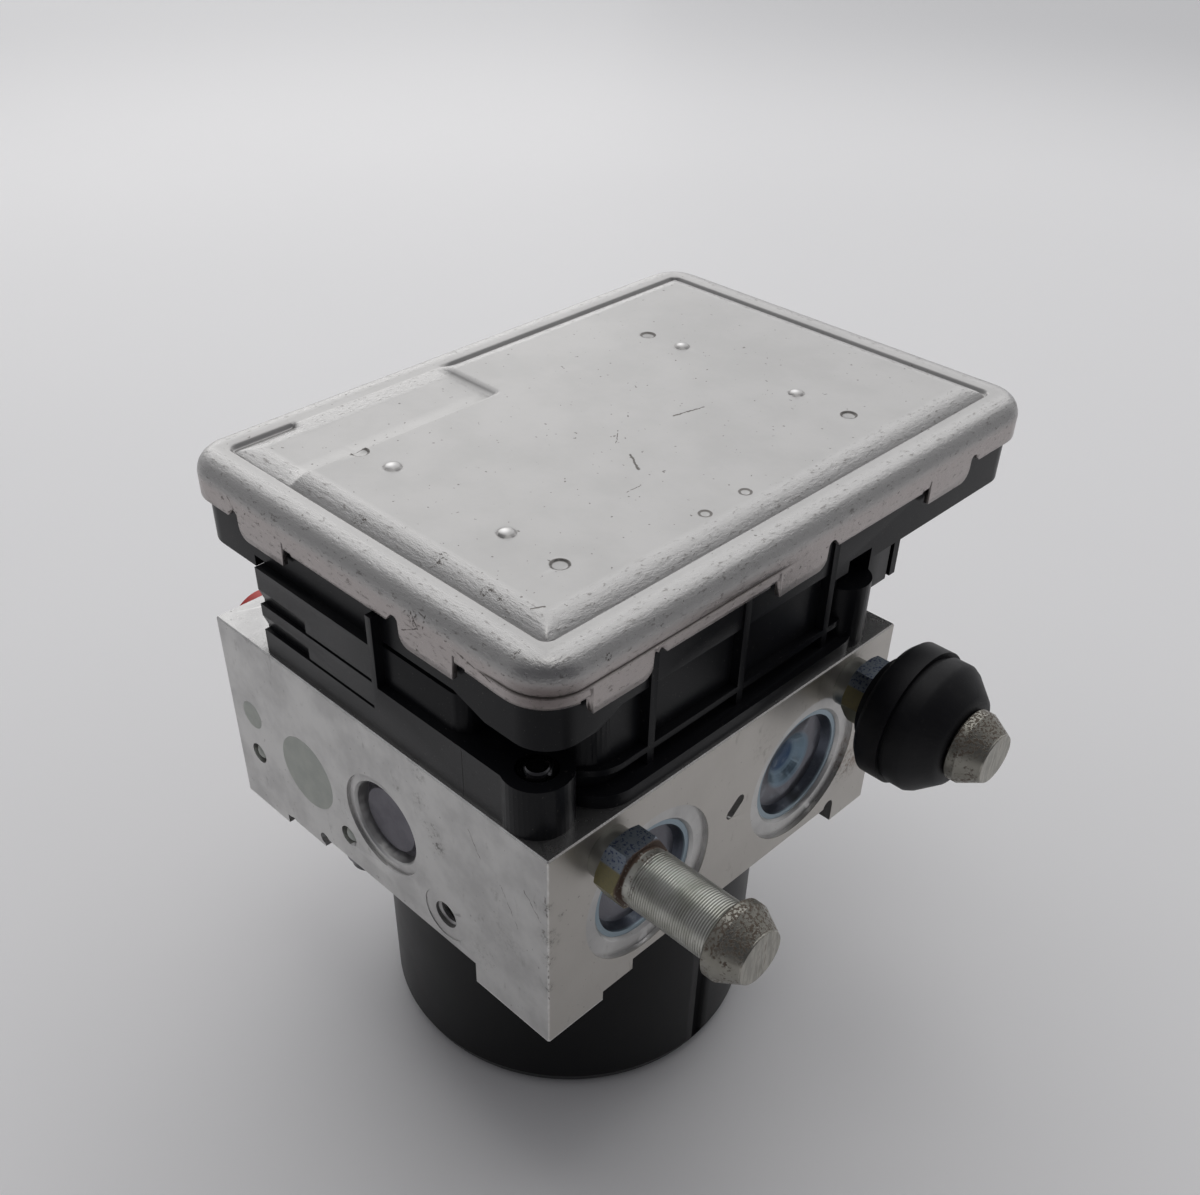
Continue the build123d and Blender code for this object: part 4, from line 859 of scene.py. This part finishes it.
def pressedCover():
    s = coverSizes
    around = 1.7  # how far from a pressing's centre the grid is fine
    us = gridLines(s["width"], frontTabs, clusters([p[0] - s["left"] for p in pressings], around))
    vs = gridLines(s["length"], sideTabs, clusters([p[1] - s["front"] for p in pressings], around))
    work = bmesh.new()
    grid = []
    for u in us:
        row = []
        for v in vs:
            ru, rv = roundCorner(u, v)
            x, y = s["left"] + ru, s["front"] + rv
            row.append(work.verts.new((x * mm, y * mm, coverHeight(x, y) * mm)))
        grid.append(row)
    lastU, lastV = len(us) - 1, len(vs) - 1
    for i in range(lastU):
        for j in range(lastV):
            work.faces.new((grid[i][j], grid[i + 1][j], grid[i + 1][j + 1], grid[i][j + 1]))
    edge = [(grid[i][0], us[i], "front") for i in range(lastU)]
    edge += [(grid[lastU][j], vs[j], "right") for j in range(lastV)]
    edge += [(grid[i][lastV], us[i], "back") for i in range(lastU, 0, -1)]
    edge += [(grid[0][j], vs[j], "left") for j in range(lastV, 0, -1)]
    lipLevels = [(108.7, 0.0), (108.1, -0.03), (107.9, -0.16), (s["lipCrease"], -0.20)]
    lipLevels += [(107.62, -0.06), (s["skirtTop"], 0.06)]
    lipEnds = (7.0, 10.0)  # the lip grows along X and dies out along Y over these lengths
    shares = [0.15, 0.4, 0.7, 1.0]
    columns = []
    for k, (vert, place, kind) in enumerate(edge):
        before, after = edge[k - 1][0].co, edge[(k + 1) % len(edge)][0].co
        tangent = (after - before).normalized()
        out = Vector((tangent.y, -tangent.x, 0.0))
        x, y = vert.co.x / mm, vert.co.y / mm
        lip = smooth((x - s["lipX"]) / lipEnds[0]) * (1 - smooth((y - s["lipY"]) / lipEnds[1]))
        fall = hemHeight(kind, place) - s["skirtTop"]
        rows = lipLevels + [(s["skirtTop"] + fall * share, 0.06 + 0.16 * share) for share in shares]
        column = [vert]
        for level, push in rows:
            shift = out * push * lip + Vector((0, 0, level))
            column.append(work.verts.new(vert.co.xy.to_3d() + shift * mm))
        columns.append(column)
    for k in range(len(edge)):
        a, b = columns[k], columns[(k + 1) % len(edge)]
        for n in range(len(a) - 1):
            work.faces.new((a[n], a[n + 1], b[n + 1], b[n]))
    bmesh.ops.delete(work, geom=[v for v in work.verts if not v.link_faces], context="VERTS")
    bmesh.ops.recalc_face_normals(work, faces=work.faces)
    mesh = bpy.data.meshes.new("pressedCover")
    work.to_mesh(mesh)
    work.free()
    shade(mesh, 38)
    made = addPiece("pressedCover", mesh, "sheet", "lid")
    wall = made.modifiers.new("sheet", "SOLIDIFY")
    wall.thickness = s["sheet"] * mm
    wall.offset = -1.0
    return made


print("cover pressed:", len(pressedCover().data.polygons))


# one Geometry Nodes tree with named inputs, for what repeats
class Recipe(Tree):
    def __init__(self, name):
        super().__init__(bpy.data.node_groups.new(name, "GeometryNodeTree"))
        self.sockets = {}
        self.tree.interface.new_socket(name="Geometry", in_out="OUTPUT", socket_type="NodeSocketGeometry")
        self.start = self.tree.nodes.new("NodeGroupInput")
        self.end = self.tree.nodes.new("NodeGroupOutput")
        self.places = self.asks("Places", "NodeSocketGeometry")

    def asks(self, name, kind):
        made = self.tree.interface.new_socket(name=name, in_out="INPUT", socket_type=kind)
        self.sockets[name] = made.identifier
        return Wire(self, self.start.outputs[name])

    def close(self, geometry, finish):
        real = self.node("GeometryNodeRealizeInstances", {}, {"Geometry": geometry})
        dressed = self.node("GeometryNodeSetMaterial", {}, {"Geometry": real, "Material": finishes[finish]})
        self.feed(self.end.inputs["Geometry"], dressed)

    # the tree's result at each place, in millimetres, as a plain mesh of its own
    def make(self, name, places, sizes, slot, angle=35.0):
        points = bpy.data.meshes.new(name + "Places")
        points.from_pydata([[v * mm for v in p] for p in places], [], [])
        made = bpy.data.objects.new(name, points)
        scene.collection.objects.link(made)
        recipe = made.modifiers.new("recipe", "NODES")
        recipe.node_group = self.tree
        for key, value in sizes.items():
            recipe[self.sockets[key]] = value
        graph = bpy.context.evaluated_depsgraph_get()
        mesh = bpy.data.meshes.new_from_object(made.evaluated_get(graph))
        mesh.name = name
        made.modifiers.remove(recipe)
        made.data = mesh
        shade(mesh, angle)
        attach(made, "unit")
        print(name, "faces:", len(mesh.polygons))


def threadRecipe(name, turn, finish):  # a helical ridge on the wall of each bore
    recipe = Recipe(name)
    radius = recipe.asks("Radius", "NodeSocketFloat")
    depth = recipe.asks("Depth", "NodeSocketFloat")
    turns = recipe.asks("Turns", "NodeSocketFloat")
    tooth = recipe.asks("Tooth", "NodeSocketFloat")
    spiral = recipe.node(
        "GeometryNodeCurveSpiral",
        {},
        {"Resolution": 28, "Rotations": turns, "Start Radius": radius, "End Radius": radius, "Height": depth},
    )
    section = recipe.node("GeometryNodeCurvePrimitiveCircle", {}, {"Resolution": 4, "Radius": tooth})
    swept = {"Curve": spiral, "Profile Curve": section, "Fill Caps": True}
    ridge = recipe.node("GeometryNodeCurveToMesh", {}, swept)
    each = {"Points": recipe.places, "Instance": ridge, "Rotation": turn}
    recipe.close(recipe.node("GeometryNodeInstanceOnPoints", {}, each), finish)
    return recipe


def ringRecipe(name, turn, finish):  # a row of fine rings round each shank
    recipe = Recipe(name)
    radius = recipe.asks("Radius", "NodeSocketFloat")
    tooth = recipe.asks("Tooth", "NodeSocketFloat")
    count = recipe.asks("Count", "NodeSocketInt")
    pitch = recipe.asks("Pitch", "NodeSocketFloat")
    circle = recipe.node("GeometryNodeCurvePrimitiveCircle", {}, {"Resolution": 40, "Radius": radius})
    section = recipe.node("GeometryNodeCurvePrimitiveCircle", {}, {"Resolution": 6, "Radius": tooth})
    ring = recipe.node("GeometryNodeCurveToMesh", {}, {"Curve": circle, "Profile Curve": section})
    step = recipe.node("ShaderNodeCombineXYZ", {}, {"X": pitch})
    row = recipe.node("GeometryNodeMeshLine", {"mode": "OFFSET"}, {"Count": count, "Offset": step})
    turned = {"Points": row, "Instance": ring, "Rotation": turn}
    stack = recipe.node("GeometryNodeInstanceOnPoints", {}, turned)
    each = {"Points": recipe.places, "Instance": stack}
    recipe.close(recipe.node("GeometryNodeInstanceOnPoints", {}, each), finish)
    return recipe


quarter = math.pi / 2
threadTooth = 0.42
portSizes = {"x": -41.6, "z": 72.0, "ys": (-11.3, 7.3, 25.9), "radius": 4.5, "depth": 12.0, "pitch": 1.0}
masterSizes = {"x": -41.6, "z": 57.0, "ys": (-13.0, 9.0), "radius": 5.5, "depth": 12.0, "pitch": 1.0}
bracketSizes = {"x": 15.0, "z": 53.9, "ys": (-42.3,), "radius": 2.5, "depth": 10.5, "pitch": 0.8}
shankSizes = {"x": 47.4, "z": 77.4, "ys": (-31.0, 27.0), "radius": 4.58, "tooth": 0.2, "pitch": 0.42}
shankRings = 34


def placesOf(sizes):
    return [(sizes["x"], y, sizes["z"]) for y in sizes["ys"]]


intoSide = threadRecipe("portThread", (0.0, quarter, 0.0), "block")
intoFront = threadRecipe("holeThread", (-quarter, 0.0, 0.0), "block")
for name, recipe, sizes in (
    ("portThreads", intoSide, portSizes),
    ("masterThreads", intoSide, masterSizes),
    ("bracketThread", intoFront, bracketSizes),
):
    values = {"Radius": sizes["radius"] * mm, "Depth": sizes["depth"] * mm, "Tooth": threadTooth * mm}
    values["Turns"] = sizes["depth"] / sizes["pitch"]
    recipe.make(name, placesOf(sizes), values, "block_aluminium")

values = {name.title(): shankSizes[name] * mm for name in ("radius", "tooth", "pitch")}
values["Count"] = shankRings
shankRecipe = ringRecipe("shankRing", (0.0, quarter, 0.0), "stud")
shankRecipe.make("shankRings", placesOf(shankSizes), values, "zinc_steel", angle=60.0)
print("repeats made")


# the stage, the light and the camera
stageLook = {  # reaches are in millimetres from the middle, the size is in metres; the floor is painted darker near the part as a painted shadow and far away as painted light falloff
    "floor": (0.90, 0.895, 0.90),
    "under": (0.84, 0.835, 0.84),
    "far": (0.62, 0.62, 0.63),
    "cloud": (0.70, 0.70, 0.70),
    "middle": (25.0, -15.0),
    "underReach": (40.0, 230.0),
    "falloffReach": (560.0, 1000.0),
    "size": 8.0,
}


def makeStage():
    look = stageLook
    half = look["size"] / 2
    corners = [(-half, -half, 0), (half, -half, 0), (half, half, 0), (-half, half, 0)]
    mesh = bpy.data.meshes.new("floor")
    mesh.from_pydata(corners, [], [(0, 1, 2, 3)])
    floor = bpy.data.objects.new("floor", mesh)
    scene.collection.objects.link(floor)
    fin = Finish("floorSheet")
    x, y, z = fin.axes()
    cloud = fin.grain(120, 3, 0.5)
    dx, dy = x - look["middle"][0], y - look["middle"][1]
    away = (dx * dx + dy * dy) ** 0.5
    # painted shadow round the part, then painted light falloff far away
    colour = fin.mix(away.step(*look["underReach"]), look["under"], look["floor"])
    colour = fin.mix(away.step(*look["falloffReach"]), colour, look["far"])
    colour = fin.mix(cloud * 0.1, colour, look["cloud"])
    mesh.materials.append(fin.paint(Base_Color=colour, Roughness=0.5, Specular_IOR_Level=0.2))


def addLamp(name, look):
    lamp = bpy.data.lights.new(name, "AREA")
    lamp.shape = "RECTANGLE"
    lamp.size, lamp.size_y = look["size"]
    lamp.energy = look["power"]
    lamp.color = look["colour"]
    made = bpy.data.objects.new(name, lamp)
    made.visible_camera = False
    made.location = look["place"]
    toPart = Vector((0, 0, 0.06)) - made.location
    made.rotation_euler = toPart.to_track_quat("-Z", "Y").to_euler()
    scene.collection.objects.link(made)


lampLook = {  # the sky is bright behind the part and dark on the camera's side
    "sky": {
        "back": (0.62, 0.62, 0.635),
        "side": (0.36, 0.36, 0.37),
        "front": (0.125, 0.125, 0.135),
        "seen": (0.62, 0.62, 0.62),
        "backward": (-0.7, 0.7, 0.0),
        "backFrom": (0.1, 0.8),
        "frontFrom": (0.0, -0.6),
    },
    "softbox": {"place": (-0.75, 0.85, 1.25), "size": (2.6, 2.4), "power": 13.0, "colour": (1, 1, 1)},
    "ceiling": {"place": (0.02, 0.02, 1.35), "size": (0.5, 0.5), "power": 1.3, "colour": (1.0, 0.995, 0.98)},
    "window": {"place": (-1.0, 0.5, 0.3), "size": (0.9, 0.45), "power": 1.0, "colour": (1.0, 0.99, 0.97)},
}


def makeSky():
    world = bpy.data.worlds.new("room")
    scene.world = world
    world.use_nodes = True
    tree, sky = Tree(world.node_tree), lampLook["sky"]
    way = tree.node("ShaderNodeTexCoord", {}, {}, "Generated")
    toBack = tree.vector("DOT_PRODUCT", {0: way, 1: sky["backward"]}, "Value")
    colour = tree.mix(toBack.step(*sky["backFrom"]), sky["side"], sky["back"])
    colour = tree.mix(toBack.step(*sky["frontFrom"]), colour, sky["front"])
    camera = tree.node("ShaderNodeLightPath", {}, {}, "Is Camera Ray")
    colour = tree.mix(camera, colour, sky["seen"])
    tree.feed(world.node_tree.nodes["Background"].inputs["Color"], colour)


def makeCamera():
    view = {
        "place": (0.13163, -0.13078, 0.21307),
        "azimuth": 44.96,
        "elevation": 39.58,
        "roll": 0.65,
        "lens": 39.69,
        "shift": (0.0208, 0.1073),
    }
    a, e, r = (math.radians(view[k]) for k in ("azimuth", "elevation", "roll"))
    back = Vector((math.sin(a) * math.cos(e), -math.cos(a) * math.cos(e), math.sin(e)))
    right = Vector((0, 0, 1)).cross(back).normalized()
    up = back.cross(right)
    tilted = [right * math.cos(r) + up * math.sin(r), up * math.cos(r) - right * math.sin(r), back]
    camera = bpy.data.cameras.new("camera")
    camera.lens = view["lens"]
    camera.sensor_fit = "HORIZONTAL"
    camera.shift_x, camera.shift_y = view["shift"]
    camera.clip_start = 0.01
    made = bpy.data.objects.new("camera", camera)
    made.matrix_world = Matrix.Translation(view["place"]) @ Matrix(tilted).transposed().to_4x4()
    scene.collection.objects.link(made)
    scene.camera = made


makeStage()
makeSky()
for name in ("softbox", "ceiling", "window"):
    addLamp(name, lampLook[name])
makeCamera()
scene.view_settings.view_transform = "Standard"
print("stage ready")
